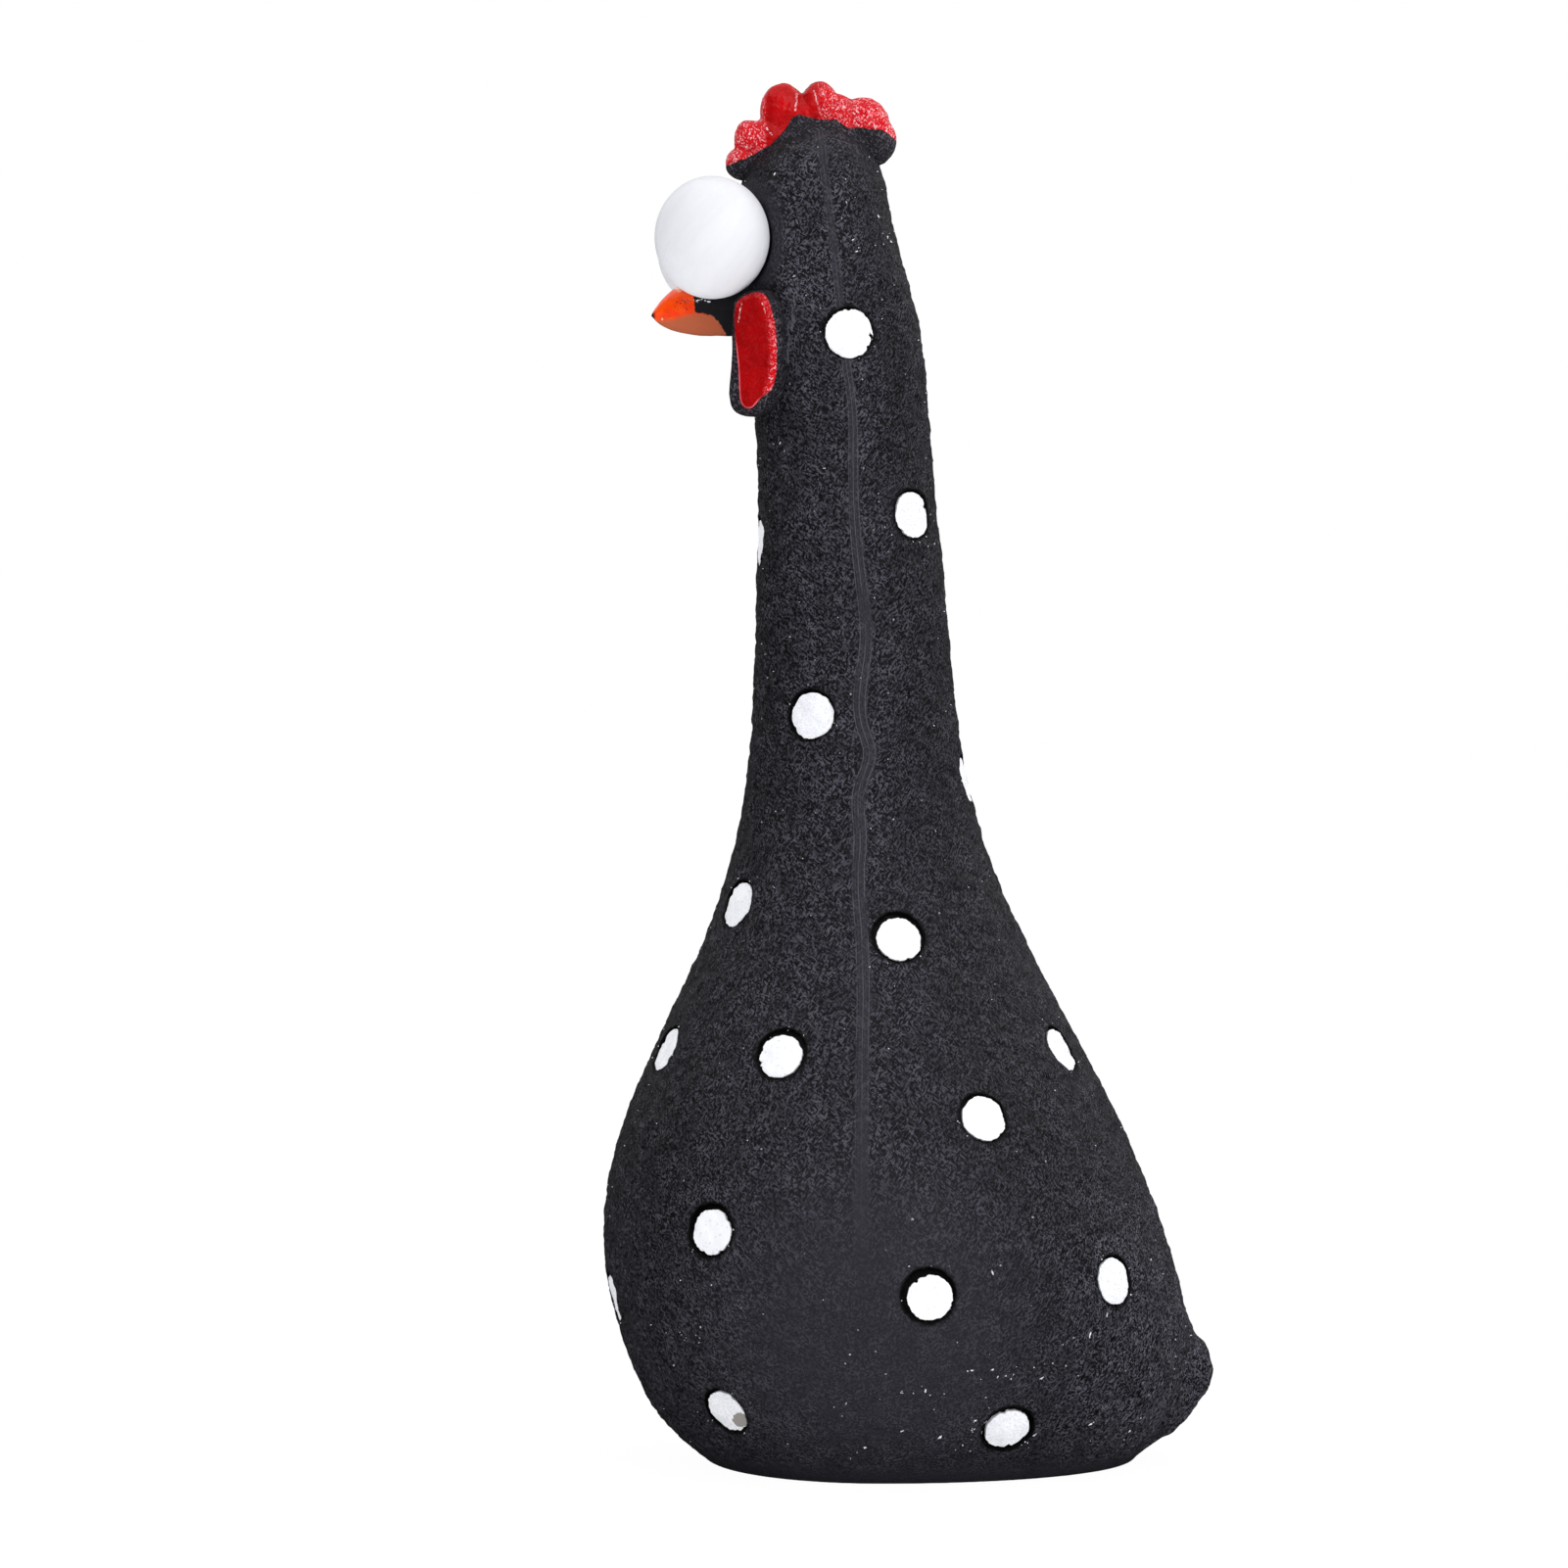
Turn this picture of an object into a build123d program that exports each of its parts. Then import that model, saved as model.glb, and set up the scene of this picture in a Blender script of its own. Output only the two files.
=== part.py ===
from build123d import *
import os
from math import cos, radians, sin, tan

# A hollow cast hen with a long neck, standing on a flat foot. All sizes are in millimetres.
# Up is +Z, the beak points along -Y, and +X is the bird's left side.

# The joint between the two half shells is a plane that leans towards the beak.
seam_offset = -4.3
seam_lean = 2.1

# Body stations from the floor up. Each has its rise above the one below, its depth
# ahead of the seam, its depth behind the seam, and half its width from side to side.
foot_front = 24.7
foot_rear = 36.8
foot_half_width = 27.7
heel_rise = 6.0
heel_front = 31.2
heel_rear = 42.4
heel_half_width = 33.6
hip_rise = 10.0
hip_front = 36.2
hip_rear = 45.8
hip_half_width = 38.8
belly_rise = 15.0
belly_front = 38.9
belly_rear = 43.4
belly_half_width = 41.0
flank_rise = 21.0
flank_front = 34.2
flank_rear = 35.6
flank_half_width = 35.0
shoulder_rise = 22.0
shoulder_front = 23.4
shoulder_rear = 24.8
shoulder_half_width = 24.3
collar_rise = 21.0
collar_front = 16.4
collar_rear = 17.4
collar_half_width = 17.0
neck_rise = 27.0
neck_front = 13.6
neck_rear = 14.6
neck_half_width = 14.2
throat_rise = 28.0
throat_front = 12.6
throat_rear = 13.1
throat_half_width = 12.9
cheek_rise = 18.0
cheek_front = 14.3
cheek_rear = 11.4
cheek_half_width = 12.3
brow_rise = 12.0
brow_front = 14.6
brow_rear = 8.6
brow_half_width = 11.4
crown_rise = 13.5
crown_slope_angles = (30, 55, 75)

# Casting wall, lap joint along the seam, and the gap that the adhesive fills.
wall = 4.5
lap = 3.0
lap_root = 1.5
glue_gap = 0.15

# Plate that closes the underside, and the ring of casting that it is let into.
plate_thickness = 4.0
foot_rim = 2.5
ledge_width = 4.0
ledge_thickness = 3.0

# Tail nub: a blunt cone with a round tip, low on the back.
tail_reach = 44.4
tail_height = 12.0
tail_tip_radius = 5.4
tail_flare = 47.0
tail_droop = 10.0
tail_root = 14.0

# Painted dots: round pockets with a thin white fill on the floor of each one.
pocket_radius = 3.6
pocket_depth = 0.9
dot_clearance = 0.3
dot_thickness = 0.4
# Height as a percentage of the crown's height, and bearing from the left side towards the tail.
dot_scatter_flank = (
    (83.9, 7),
    (70.6, 47),
    (55.7, -24),
    (41.8, -59),
    (39.5, 13),
    (31.1, -71),
    (31.2, 64),
    (31.2, -23),
    (26.7, 27),
    (18.6, -35),
    (14.7, 52),
    (14.3, 10),
    (5.2, -38),
    (4.2, 29),
)
dot_scatter_middle = (
    (68.7, -83),
    (51.0, 83),
    (12.4, -80),
)

# Ball eyes, and the sockets that hold them.
eye_radius = 8.3
eye_half_height = 8.85
eye_gap = 0.4
eye_sink = 5.3
eye_drop = 3.7
socket_valley = 1.2

# Beak: an oval cone that narrows on a parabola towards a drooping tip.
beak_reach = 12.8
beak_half_width = 4.3
beak_half_height = 4.2
beak_drop = 12.9
beak_tip_drop = 1.2
beak_root = 3.0
beak_shares = (0.0, 0.3, 0.55, 0.75, 0.9, 0.97)

# Wattles: leaf-shaped lobes that hang beside the beak, turned out along the cheek.
wattle_thickness = 5.0
wattle_rounding = 2.2
wattle_turn = 25.0
wattle_top_radius = 2.4
wattle_middle_radius = 3.2
wattle_tip_radius = 2.5
wattle_top_rise = 6.4
wattle_tip_drop = 5.9
wattle_bulge = 0.7
wattle_drop = 20.5
wattle_out = 8.2
wattle_ahead = 12.2

# Pegs that hold the beak and the wattles in the face.
peg_radius = 1.5
peg_length = 4.0

# Comb: four round lobes on one web, with a tenon that drops into the crown.
comb_thickness = 6.0
comb_rounding = 2.2
comb_toe_ahead = 15.0
comb_toe_rise = 4.0
comb_toe_length = 3.5
comb_heel_behind = 7.9
comb_heel_rise = 8.7
lobe_front_radius = 3.0
lobe_front_ahead = 11.7
lobe_front_rise = 11.0
lobe_second_radius = 3.2
lobe_second_ahead = 7.3
lobe_second_rise = 15.9
lobe_third_radius = 3.4
lobe_third_ahead = 1.5
lobe_third_rise = 16.6
lobe_back_radius = 4.2
lobe_back_behind = 4.9
lobe_back_rise = 13.4
tenon_thickness = 3.2
tenon_length = 9.0
tenon_depth = 5.0
tenon_root = 1.0

# Larger than the whole bird, for cutting tools that have to pass right through it.
everything = 600.0


def seam_y(height):
    """Where the seam plane lies at a height."""
    return seam_offset - height * tan(radians(seam_lean))


heel_height = heel_rise
hip_height = heel_height + hip_rise
belly_height = hip_height + belly_rise
flank_height = belly_height + flank_rise
shoulder_height = flank_height + shoulder_rise
collar_height = shoulder_height + collar_rise
neck_height = collar_height + neck_rise
throat_height = neck_height + throat_rise
cheek_height = throat_height + cheek_rise
brow_height = cheek_height + brow_rise
crown_height = brow_height + crown_rise
floor_height = plate_thickness + ledge_thickness

trunk_stations = (
    (0.0, foot_front, foot_rear, foot_half_width),
    (heel_height, heel_front, heel_rear, heel_half_width),
    (hip_height, hip_front, hip_rear, hip_half_width),
    (belly_height, belly_front, belly_rear, belly_half_width),
    (flank_height, flank_front, flank_rear, flank_half_width),
    (shoulder_height, shoulder_front, shoulder_rear, shoulder_half_width),
    (collar_height, collar_front, collar_rear, collar_half_width),
    (neck_height, neck_front, neck_rear, neck_half_width),
    (throat_height, throat_front, throat_rear, throat_half_width),
)
head_stations = (
    (cheek_height, cheek_front, cheek_rear, cheek_half_width),
    (brow_height, brow_front, brow_rear, brow_half_width),
) + tuple(
    (
        brow_height + crown_rise * sin(radians(angle)),
        brow_front * cos(radians(angle)),
        brow_rear * cos(radians(angle)),
        brow_half_width * cos(radians(angle)),
    )
    for angle in crown_slope_angles
)


def section(station, inset):
    """Egg-shaped slice of the body, drawn in from its outer line by an inset."""
    height, front, rear, half_width = station
    centre = (0, seam_y(height))
    ahead = EllipticalCenterArc(centre, half_width - inset, front - inset, 180, arc_size=180)
    behind = EllipticalCenterArc(centre, half_width - inset, rear - inset, 0, arc_size=180)
    return Pos(0, 0, height) * make_face([ahead, behind])


def body_form(stations, inset):
    """Smooth solid through a run of body slices."""
    return loft([section(station, inset) for station in stations])


def between(bottom, top):
    """Everything between two heights, as one block."""
    layer = Box(everything, everything, top - bottom)
    return Pos(0, 0, (bottom + top) / 2) * layer


def foot_block(inset, bottom, top):
    """Upright block with the outline of the foot, drawn in by an inset."""
    return Pos(0, 0, bottom) * extrude(section(trunk_stations[0], inset), top - bottom)


def seam_slab(ahead, behind):
    """Slab along the seam plane, from a distance ahead of it to a distance behind it."""
    slab = Box(everything, everything, ahead + behind)
    return seam_plane * Pos(0, 0, (behind - ahead) / 2) * slab


seam_tilt = radians(seam_lean)
seam_plane = Plane(origin=(0, seam_offset, 0), x_dir=(1, 0, 0), z_dir=(0, cos(seam_tilt), sin(seam_tilt)))

# Outer form of the whole bird, with the tail nub run into the back.
trunk_and_head = body_form(trunk_stations + head_stations, 0)
tail_axis = Plane(
    origin=(0, tail_reach, tail_height),
    x_dir=(1, 0, 0),
    z_dir=(0, cos(radians(tail_droop)), -sin(radians(tail_droop))),
)
tail_cone_tangent = tail_tip_radius * cos(radians(tail_flare))
tail_cone_start = tail_tip_radius * (1 - sin(radians(tail_flare)))
tail_root_radius = tail_cone_tangent + (tail_root - tail_cone_start) * tan(radians(tail_flare))
tail_outline = make_face(
    [
        Line((0, 0), (0, -tail_root)),
        Line((0, -tail_root), (tail_root_radius, -tail_root)),
        Line((tail_root_radius, -tail_root), (tail_cone_tangent, -tail_cone_start)),
        CenterArc((0, -tail_tip_radius), tail_tip_radius, tail_flare, 90 - tail_flare),
    ]
)
tail = tail_axis * revolve(Plane.XZ * tail_outline, Axis.Z) & between(0, everything)
bird = trunk_and_head + tail

# Two half shells: hollow up to the throat, solid in the head, open underneath for the plate.
hollow_stations = trunk_stations + head_stations[:2]
cavity = body_form(hollow_stations, wall) & between(floor_height, throat_height)
mouth = foot_block(foot_rim + ledge_width, -ledge_thickness, floor_height + ledge_thickness)
rebate = foot_block(foot_rim, -plate_thickness, plate_thickness)
base_plate = foot_block(foot_rim + glue_gap, 0, plate_thickness)


def skin_plane(height_share, bearing):
    """Plane on the outer skin at a height and bearing, facing straight out of the body."""
    height = crown_height * height_share / 100
    turn = radians(bearing)
    ray = Axis((0, seam_y(height), height), (cos(turn), sin(turn), 0))
    point, normal = bird.find_intersection_points(ray)[-1]
    return Plane(origin=point, z_dir=normal)


def pocket(place):
    """Cutter for one round pocket."""
    tool = Cylinder(pocket_radius, 2 * pocket_radius, align=(Align.CENTER, Align.CENTER, Align.MIN))
    return place * Pos(0, 0, -pocket_depth) * tool


def dot(place):
    """White fill that lies on the floor of one pocket."""
    disc = Cylinder(
        pocket_radius - dot_clearance, dot_thickness, align=(Align.CENTER, Align.CENTER, Align.MIN)
    )
    return place * Pos(0, 0, -pocket_depth) * disc


dot_places = {}
for number, (height_share, bearing) in enumerate(dot_scatter_flank, start=1):
    dot_places[f"dot_left_{number:02d}"] = skin_plane(height_share, bearing)
    dot_places[f"dot_right_{number:02d}"] = skin_plane(height_share, bearing + 180)
for number, (height_share, bearing) in enumerate(dot_scatter_middle, start=1):
    dot_places[f"dot_middle_{number:02d}"] = skin_plane(height_share, bearing)

# The whole outer form, grown by the adhesive's gap, trims whatever is set onto the head.
head_clearance = body_form(trunk_stations + head_stations, -glue_gap)


def ball(growth):
    """Upright egg of the eye's size, grown all round."""
    outline = EllipticalCenterArc(
        (0, 0), eye_radius + growth, eye_half_height + growth, -90, arc_size=180
    )
    chord = Line(outline @ 1, outline @ 0)
    return revolve(Plane.XZ * make_face([outline, chord]), Axis.Z)


eye_height = brow_height - eye_drop
eye_y = seam_y(eye_height) - brow_front + eye_sink - eye_radius
eye_x = eye_radius + eye_gap / 2
eye_place = Pos(eye_x, eye_y, eye_height)
eye_left = eye_place * ball(0)
eye_outward = Vector(eye_x, eye_y - seam_y(eye_height), 0).normalized()
socket_left = Pos(eye_outward * (socket_valley - glue_gap)) * eye_place * ball(socket_valley)
eye_right = mirror(eye_left, Plane.YZ)
socket_right = mirror(socket_left, Plane.YZ)
eye_clearance_left = eye_place * ball(glue_gap)
eye_clearance = [eye_clearance_left, mirror(eye_clearance_left, Plane.YZ)]


def peg(place, growth):
    """Round peg along a plane's normal, grown all round for the bore that takes it."""
    length = peg_length + growth
    rod = Cylinder(peg_radius + growth, length, align=(Align.CENTER, Align.CENTER, Align.MIN))
    return place * rod


# Beak, along -Y from the face.
beak_height = brow_height - beak_drop
beak_face_y = seam_y(beak_height) - cheek_front


def beak_slice(distance, taper, drop):
    """Upright oval slice of the beak at a distance ahead of the face."""
    place = Plane(
        origin=(0, beak_face_y - distance, beak_height - drop), x_dir=(1, 0, 0), z_dir=(0, -1, 0)
    )
    return place * Ellipse(beak_half_width * taper, beak_half_height * taper)


beak_slices = [beak_slice(-beak_root, 1.0, 0.0)]
for share in beak_shares:
    beak_slices.append(beak_slice(beak_reach * share, 1 - share**2, beak_tip_drop * share))
beak_peg_plane = Plane(origin=(0, beak_face_y, beak_height), x_dir=(1, 0, 0), z_dir=(0, 1, 0))
beak = loft(beak_slices) - head_clearance - eye_clearance + peg(beak_peg_plane, 0)

# Wattles, each on a plane that faces out and a little forward.
wattle_height = brow_height - wattle_drop
wattle_y = seam_y(wattle_height) - wattle_ahead
wattle_out_angle = radians(wattle_turn)
wattle_plane = Plane(
    origin=(wattle_out, wattle_y, wattle_height),
    x_dir=(sin(wattle_out_angle), cos(wattle_out_angle), 0),
    z_dir=(cos(wattle_out_angle), -sin(wattle_out_angle), 0),
)
wattle_rounds = [
    Pos(0, wattle_top_rise) * Circle(wattle_top_radius),
    Pos(wattle_bulge, 0) * Circle(wattle_middle_radius),
    Pos(0, -wattle_tip_drop) * Circle(wattle_tip_radius),
]
wattle_outline = make_hull([edge for disc in wattle_rounds for edge in disc.edges()])
wattle_blank = extrude(wattle_outline, wattle_thickness / 2, both=True)
wattle_leaf = wattle_plane * fillet(wattle_blank.edges().filter_by(Plane.XY), wattle_rounding)
wattle_peg_plane = Plane(
    origin=wattle_plane.origin, x_dir=wattle_plane.x_dir, z_dir=-wattle_plane.z_dir
).offset(wattle_thickness / 2 - glue_gap)
wattle_left = wattle_leaf - head_clearance - eye_clearance + peg(wattle_peg_plane, 0)
wattle_right = mirror(wattle_left, Plane.YZ)
wattle_bore = peg(wattle_peg_plane, glue_gap)

# Comb, standing in the bird's middle plane and measured from the brow at the seam.
comb_base_y = seam_y(brow_height)


def comb_point(ahead, rise):
    """Place in the bird's middle plane, as a distance ahead of the seam and a rise above the brow."""
    return (comb_base_y - ahead, brow_height + rise)


def comb_lobe(radius, ahead, rise):
    """Round lobe with a soft rim."""
    disc = Cylinder(radius, comb_thickness)
    soft = fillet(disc.edges().filter_by(GeomType.CIRCLE), comb_rounding)
    y, z = comb_point(ahead, rise)
    return Pos(0, y, z) * Rot(0, 90, 0) * soft


comb_lobes = [
    comb_lobe(lobe_front_radius, lobe_front_ahead, lobe_front_rise),
    comb_lobe(lobe_second_radius, lobe_second_ahead, lobe_second_rise),
    comb_lobe(lobe_third_radius, lobe_third_ahead, lobe_third_rise),
    comb_lobe(lobe_back_radius, -lobe_back_behind, lobe_back_rise),
]
comb_web_outline = make_face(
    Polyline(
        comb_point(comb_toe_ahead, comb_toe_rise),
        comb_point(comb_toe_ahead, comb_toe_rise + comb_toe_length),
        comb_point(lobe_front_ahead + lobe_front_radius, lobe_front_rise),
        comb_point(lobe_front_ahead, lobe_front_rise),
        comb_point(lobe_second_ahead, lobe_second_rise),
        comb_point(lobe_third_ahead, lobe_third_rise),
        comb_point(-lobe_back_behind, lobe_back_rise),
        comb_point(-comb_heel_behind, comb_heel_rise),
        comb_point(0, comb_toe_rise),
        close=True,
    )
)
comb_web = extrude(Plane.YZ * comb_web_outline, comb_thickness / 2, both=True)


def tenon(growth):
    """Block that drops from the comb into the crown, grown all round for its slot."""
    bottom = crown_height - tenon_depth - growth
    top = crown_height + tenon_root
    middle_y = comb_base_y - (lobe_second_ahead + lobe_third_ahead) / 2
    block = Box(tenon_thickness + 2 * growth, tenon_length + 2 * growth, top - bottom)
    return Pos(0, middle_y, (bottom + top) / 2) * block


comb = comb_web + comb_lobes - head_clearance - eye_clearance + tenon(0)

# The casting, then its two halves with the lap joint between them.
cutters = [cavity, mouth, rebate, socket_left, socket_right, tenon(glue_gap)]
cutters += [peg(beak_peg_plane, glue_gap), wattle_bore, mirror(wattle_bore, Plane.YZ)]
cutters += [pocket(place) for place in dot_places.values()]
casting = bird - cutters
front_half, rear_half = split(casting, bisect_by=seam_plane, keep=Keep.BOTH).solids().sort_by(Axis.Y)
tongue = body_form(hollow_stations, wall / 2 + glue_gap) & seam_slab(lap_root, lap - glue_gap)
tongue = tongue & between(floor_height + glue_gap, throat_height - glue_gap)
groove = body_form(hollow_stations, wall / 2) & seam_slab(lap_root, lap)
groove = groove & between(floor_height, throat_height)
front_shell = front_half + (tongue - cavity)
rear_shell = rear_half - groove

pieces = {
    "front_shell": front_shell,
    "rear_shell": rear_shell,
    "base_plate": base_plate,
    "comb": comb,
    "beak": beak,
    "wattle_left": wattle_left,
    "wattle_right": wattle_right,
    "eye_left": eye_left,
    "eye_right": eye_right,
}
for name, place in dot_places.items():
    pieces[name] = dot(place)

os.makedirs("parts", exist_ok=True)
for name, piece in pieces.items():
    piece.label = name
    export_step(piece, f"parts/{name}.step")
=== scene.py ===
"""Looks of a hand-painted cast hen with a long neck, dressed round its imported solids.

Up is +Z, the beak points along -Y, and the bird's left side, +X, faces the camera.
Sizes in the classes are millimetres; MM turns them into the metres of the frame.
"""

import logging
import math
import random
from collections.abc import Callable, Iterator
from contextlib import contextmanager
from dataclasses import dataclass, field

import bmesh
import bpy
import numpy as np
from mathutils import Matrix, Vector, noise


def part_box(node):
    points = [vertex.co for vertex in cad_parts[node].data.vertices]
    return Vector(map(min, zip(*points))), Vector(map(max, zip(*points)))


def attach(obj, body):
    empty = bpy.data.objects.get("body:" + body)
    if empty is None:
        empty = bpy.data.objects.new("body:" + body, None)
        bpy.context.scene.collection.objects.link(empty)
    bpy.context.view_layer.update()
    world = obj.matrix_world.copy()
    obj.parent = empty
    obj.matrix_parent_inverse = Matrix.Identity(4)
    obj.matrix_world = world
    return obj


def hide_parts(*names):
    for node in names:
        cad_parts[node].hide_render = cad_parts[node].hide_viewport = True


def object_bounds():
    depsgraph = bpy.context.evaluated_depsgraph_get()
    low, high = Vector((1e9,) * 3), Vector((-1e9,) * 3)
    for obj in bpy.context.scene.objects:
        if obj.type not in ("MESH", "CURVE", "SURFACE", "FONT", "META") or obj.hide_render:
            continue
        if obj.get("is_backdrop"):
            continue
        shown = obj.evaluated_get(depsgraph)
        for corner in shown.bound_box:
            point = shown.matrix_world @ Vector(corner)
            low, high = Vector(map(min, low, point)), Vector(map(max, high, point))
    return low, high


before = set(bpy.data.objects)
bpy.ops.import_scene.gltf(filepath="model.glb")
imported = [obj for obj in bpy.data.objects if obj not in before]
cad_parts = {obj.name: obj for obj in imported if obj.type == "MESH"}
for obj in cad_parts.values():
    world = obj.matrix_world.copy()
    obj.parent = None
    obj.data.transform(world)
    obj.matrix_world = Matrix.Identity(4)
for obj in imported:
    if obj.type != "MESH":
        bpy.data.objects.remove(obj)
CAD_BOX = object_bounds()

MM = 0.001
BODY = "root"
SAME_LEVEL = 1e-7
LOG = logging.getLogger("hen")

Colour = tuple[float, float, float, float]
Point = tuple[float, float, float]
Pair = tuple[float, float]
Piece = bpy.types.Object
Material = bpy.types.Material
Socket = bpy.types.NodeSocket
Tree = bpy.types.NodeTree
Rows = np.ndarray
Collection = bpy.types.bpy_prop_collection


def metres(*sizes: float) -> tuple[float, ...]:
    """Turn millimetres into metres."""
    return tuple(size * MM for size in sizes)


def ease(low: float, high: float, values: Rows) -> Rows:
    """Ramp smoothly from 0 to 1 as values pass from low to high."""
    share = np.clip((values - low) / (high - low), 0, 1)
    return share * share * (3 - 2 * share)


def natural_spline(knots: Rows, values: Rows, at: Rows) -> Rows:
    """Draw a smooth curve through points, straight at both ends.

    Args:
        knots: Rising positions of the points.
        values: One row of values for each point.
        at: Positions to read the curve at.

    Returns:
        One row of values for each position.
    """
    gaps = np.diff(knots)
    slopes = np.diff(values, axis=0) / gaps[:, None]
    matrix = np.eye(len(knots))
    right = np.zeros_like(values)
    for row in range(1, len(knots) - 1):
        matrix[row, row - 1 : row + 2] = gaps[row - 1], 2 * (gaps[row - 1] + gaps[row]), gaps[row]
        right[row] = 6 * (slopes[row] - slopes[row - 1])
    bends = np.linalg.solve(matrix, right)
    span = np.clip(np.searchsorted(knots, at, side="right") - 1, 0, len(knots) - 2)
    gap = gaps[span][:, None]
    near = (at - knots[span])[:, None]
    far = gap - near
    curve = (bends[span] * far**3 + bends[span + 1] * near**3) / (6 * gap)
    curve += (values[span] / gap - bends[span] * gap / 6) * far
    curve += (values[span + 1] / gap - bends[span + 1] * gap / 6) * near
    return curve


@dataclass(frozen=True)
class Patch:
    """An oval patch of paint: its middle, its half sizes and the distances at which it fades."""

    y: float
    z: float
    half_length: float = 1.0
    half_height: float = 1.0
    fade: Pair = (0.5, 1.0)

    def show(self, y: Rows, z: Rows) -> Rows:
        """Say how strongly the patch shows at each place, from 0 to 1."""
        across, up = (y - self.y) / self.half_length, (z - self.z) / self.half_height
        return 1 - ease(*self.fade, np.hypot(across, up))


class Bench:
    """Workbench habits that every piece shares."""

    @staticmethod
    def deselect() -> None:
        """Leave nothing selected."""
        for item in bpy.context.selected_objects:
            item.select_set(False)

    @staticmethod
    def pick(*pieces: Piece) -> None:
        """Select only these pieces and make the first one active.

        Args:
            pieces: The objects to select.
        """
        Bench.deselect()
        for piece in pieces:
            piece.select_set(True)
        bpy.context.view_layer.objects.active = pieces[0]

    @staticmethod
    def fresh(name: str) -> Piece:
        """Name the active object and its mesh, and hand it over."""
        bpy.context.object.name = bpy.context.object.data.name = name
        return bpy.context.object

    @staticmethod
    def start(name: str, shape: str, **settings: object) -> Piece:
        """Add a primitive with nothing else selected.

        Args:
            name: The new piece's name.
            shape: Blender's name for the primitive.
            settings: The primitive's sizes, place and turn.

        Returns:
            The new object, with its place in its mesh.
        """
        Bench.deselect()
        getattr(bpy.ops.mesh, f"primitive_{shape}_add")(**settings)
        bpy.ops.object.transform_apply(location=True, rotation=True, scale=True)
        return Bench.fresh(name)

    @staticmethod
    def ball(name: str, centre: Vector | Point, radii: Vector | Point, segments: int,
             ring_count: int) -> Piece:
        """Make an oval ball.

        Args:
            name: The ball's name.
            centre: Its middle, in metres.
            radii: Its half sizes, in metres.
            segments: How many faces go round it.
            ring_count: How many faces go from pole to pole.

        Returns:
            The ball.
        """
        ball = Bench.start(name, "uv_sphere", segments=segments, ring_count=ring_count, radius=1.0)
        Bench.place(ball, Matrix.Translation(centre) @ Matrix.Diagonal((*radii, 1)))
        return ball

    @staticmethod
    @contextmanager
    def editing(piece: Piece) -> Iterator[None]:
        """Hold a piece in edit mode with everything selected.

        Args:
            piece: The mesh object to edit.
        """
        Bench.pick(piece)
        bpy.ops.object.mode_set(mode="EDIT")
        bpy.context.tool_settings.mesh_select_mode = (True, False, False)
        bpy.ops.mesh.select_all(action="SELECT")
        yield
        bpy.ops.object.mode_set(mode="OBJECT")

    @staticmethod
    def select_where(piece: Piece, test: Callable[[Vector], bool]) -> None:
        """Select, in edit mode, the corners that pass a test of their place.

        Args:
            piece: The mesh object in edit mode.
            test: Says whether a corner at a place is wanted.
        """
        bpy.ops.mesh.select_all(action="DESELECT")
        shape = bmesh.from_edit_mesh(piece.data)
        for corner in shape.verts:
            corner.select = test(corner.co)
        shape.select_flush_mode()
        bmesh.update_edit_mesh(piece.data)

    @staticmethod
    def stretch(piece: Piece, test: Callable[[Vector], bool], scale: Point, pivot: Point) -> None:
        """Stretch, in edit mode, the corners that pass a test from a pivot."""
        Bench.select_where(piece, test)
        bpy.ops.transform.resize(value=scale, center_override=pivot)

    @staticmethod
    def extrude(*shift: float) -> None:
        """Draw the selected faces out by a shift in millimetres."""
        bpy.ops.mesh.extrude_region_move(TRANSFORM_OT_translate={"value": metres(*shift)})

    @staticmethod
    def face_outwards() -> None:
        """Turn every face of the piece in edit mode outwards."""
        bpy.ops.mesh.select_all(action="SELECT")
        bpy.ops.mesh.normals_make_consistent(inside=False)

    @staticmethod
    def modify(piece: Piece, kind: str, **settings: object) -> None:
        """Add one modifier and apply it.

        Args:
            piece: The mesh object.
            kind: Blender's name for the modifier.
            settings: Values for the modifier's properties.
        """
        Bench.pick(piece)
        step = piece.modifiers.new(kind.lower(), kind)
        for key, value in settings.items():
            setattr(step, key, value)
        bpy.ops.object.modifier_apply(modifier=step.name)

    @staticmethod
    def fuse(piece: Piece, voxel: float) -> None:
        """Fuse all shells of a piece into one even skin."""
        Bench.modify(piece, "REMESH", mode="VOXEL", voxel_size=voxel * MM, use_smooth_shade=True)

    @staticmethod
    def smooth(piece: Piece, passes: int, group: str = "") -> None:
        """Smooth a piece all over, or by the weights of a vertex group."""
        Bench.modify(piece, "SMOOTH", factor=0.5, iterations=passes, vertex_group=group)

    @staticmethod
    def lump(piece: Piece, size: float, height: float, level: float = 0.5, group: str = "",
             **settings: object) -> None:
        """Raise cloudy lumps on a piece.

        Args:
            piece: The mesh object.
            size: The lumps' size.
            height: How far the cloud's whole range lifts the skin.
            level: The cloud's value that leaves the skin where it is.
            group: The vertex group that weighs the lumps, if any.
            settings: Values for the cloud's other properties.
        """
        cloud = bpy.data.textures.new("lumps", "CLOUDS")
        for key, value in {"noise_scale": size * MM, **settings}.items():
            setattr(cloud, key, value)
        Bench.modify(piece, "DISPLACE", texture=cloud, texture_coords="LOCAL", strength=height * MM,
                     mid_level=level, vertex_group=group)

    @staticmethod
    def cut(piece: Piece, tool: Piece, operation: str = "DIFFERENCE") -> None:
        """Cut a piece with a closed tool, or fuse the two, and throw the tool away."""
        Bench.modify(piece, "BOOLEAN", operation=operation, object=tool, solver="MANIFOLD")
        bpy.data.objects.remove(tool)

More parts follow.
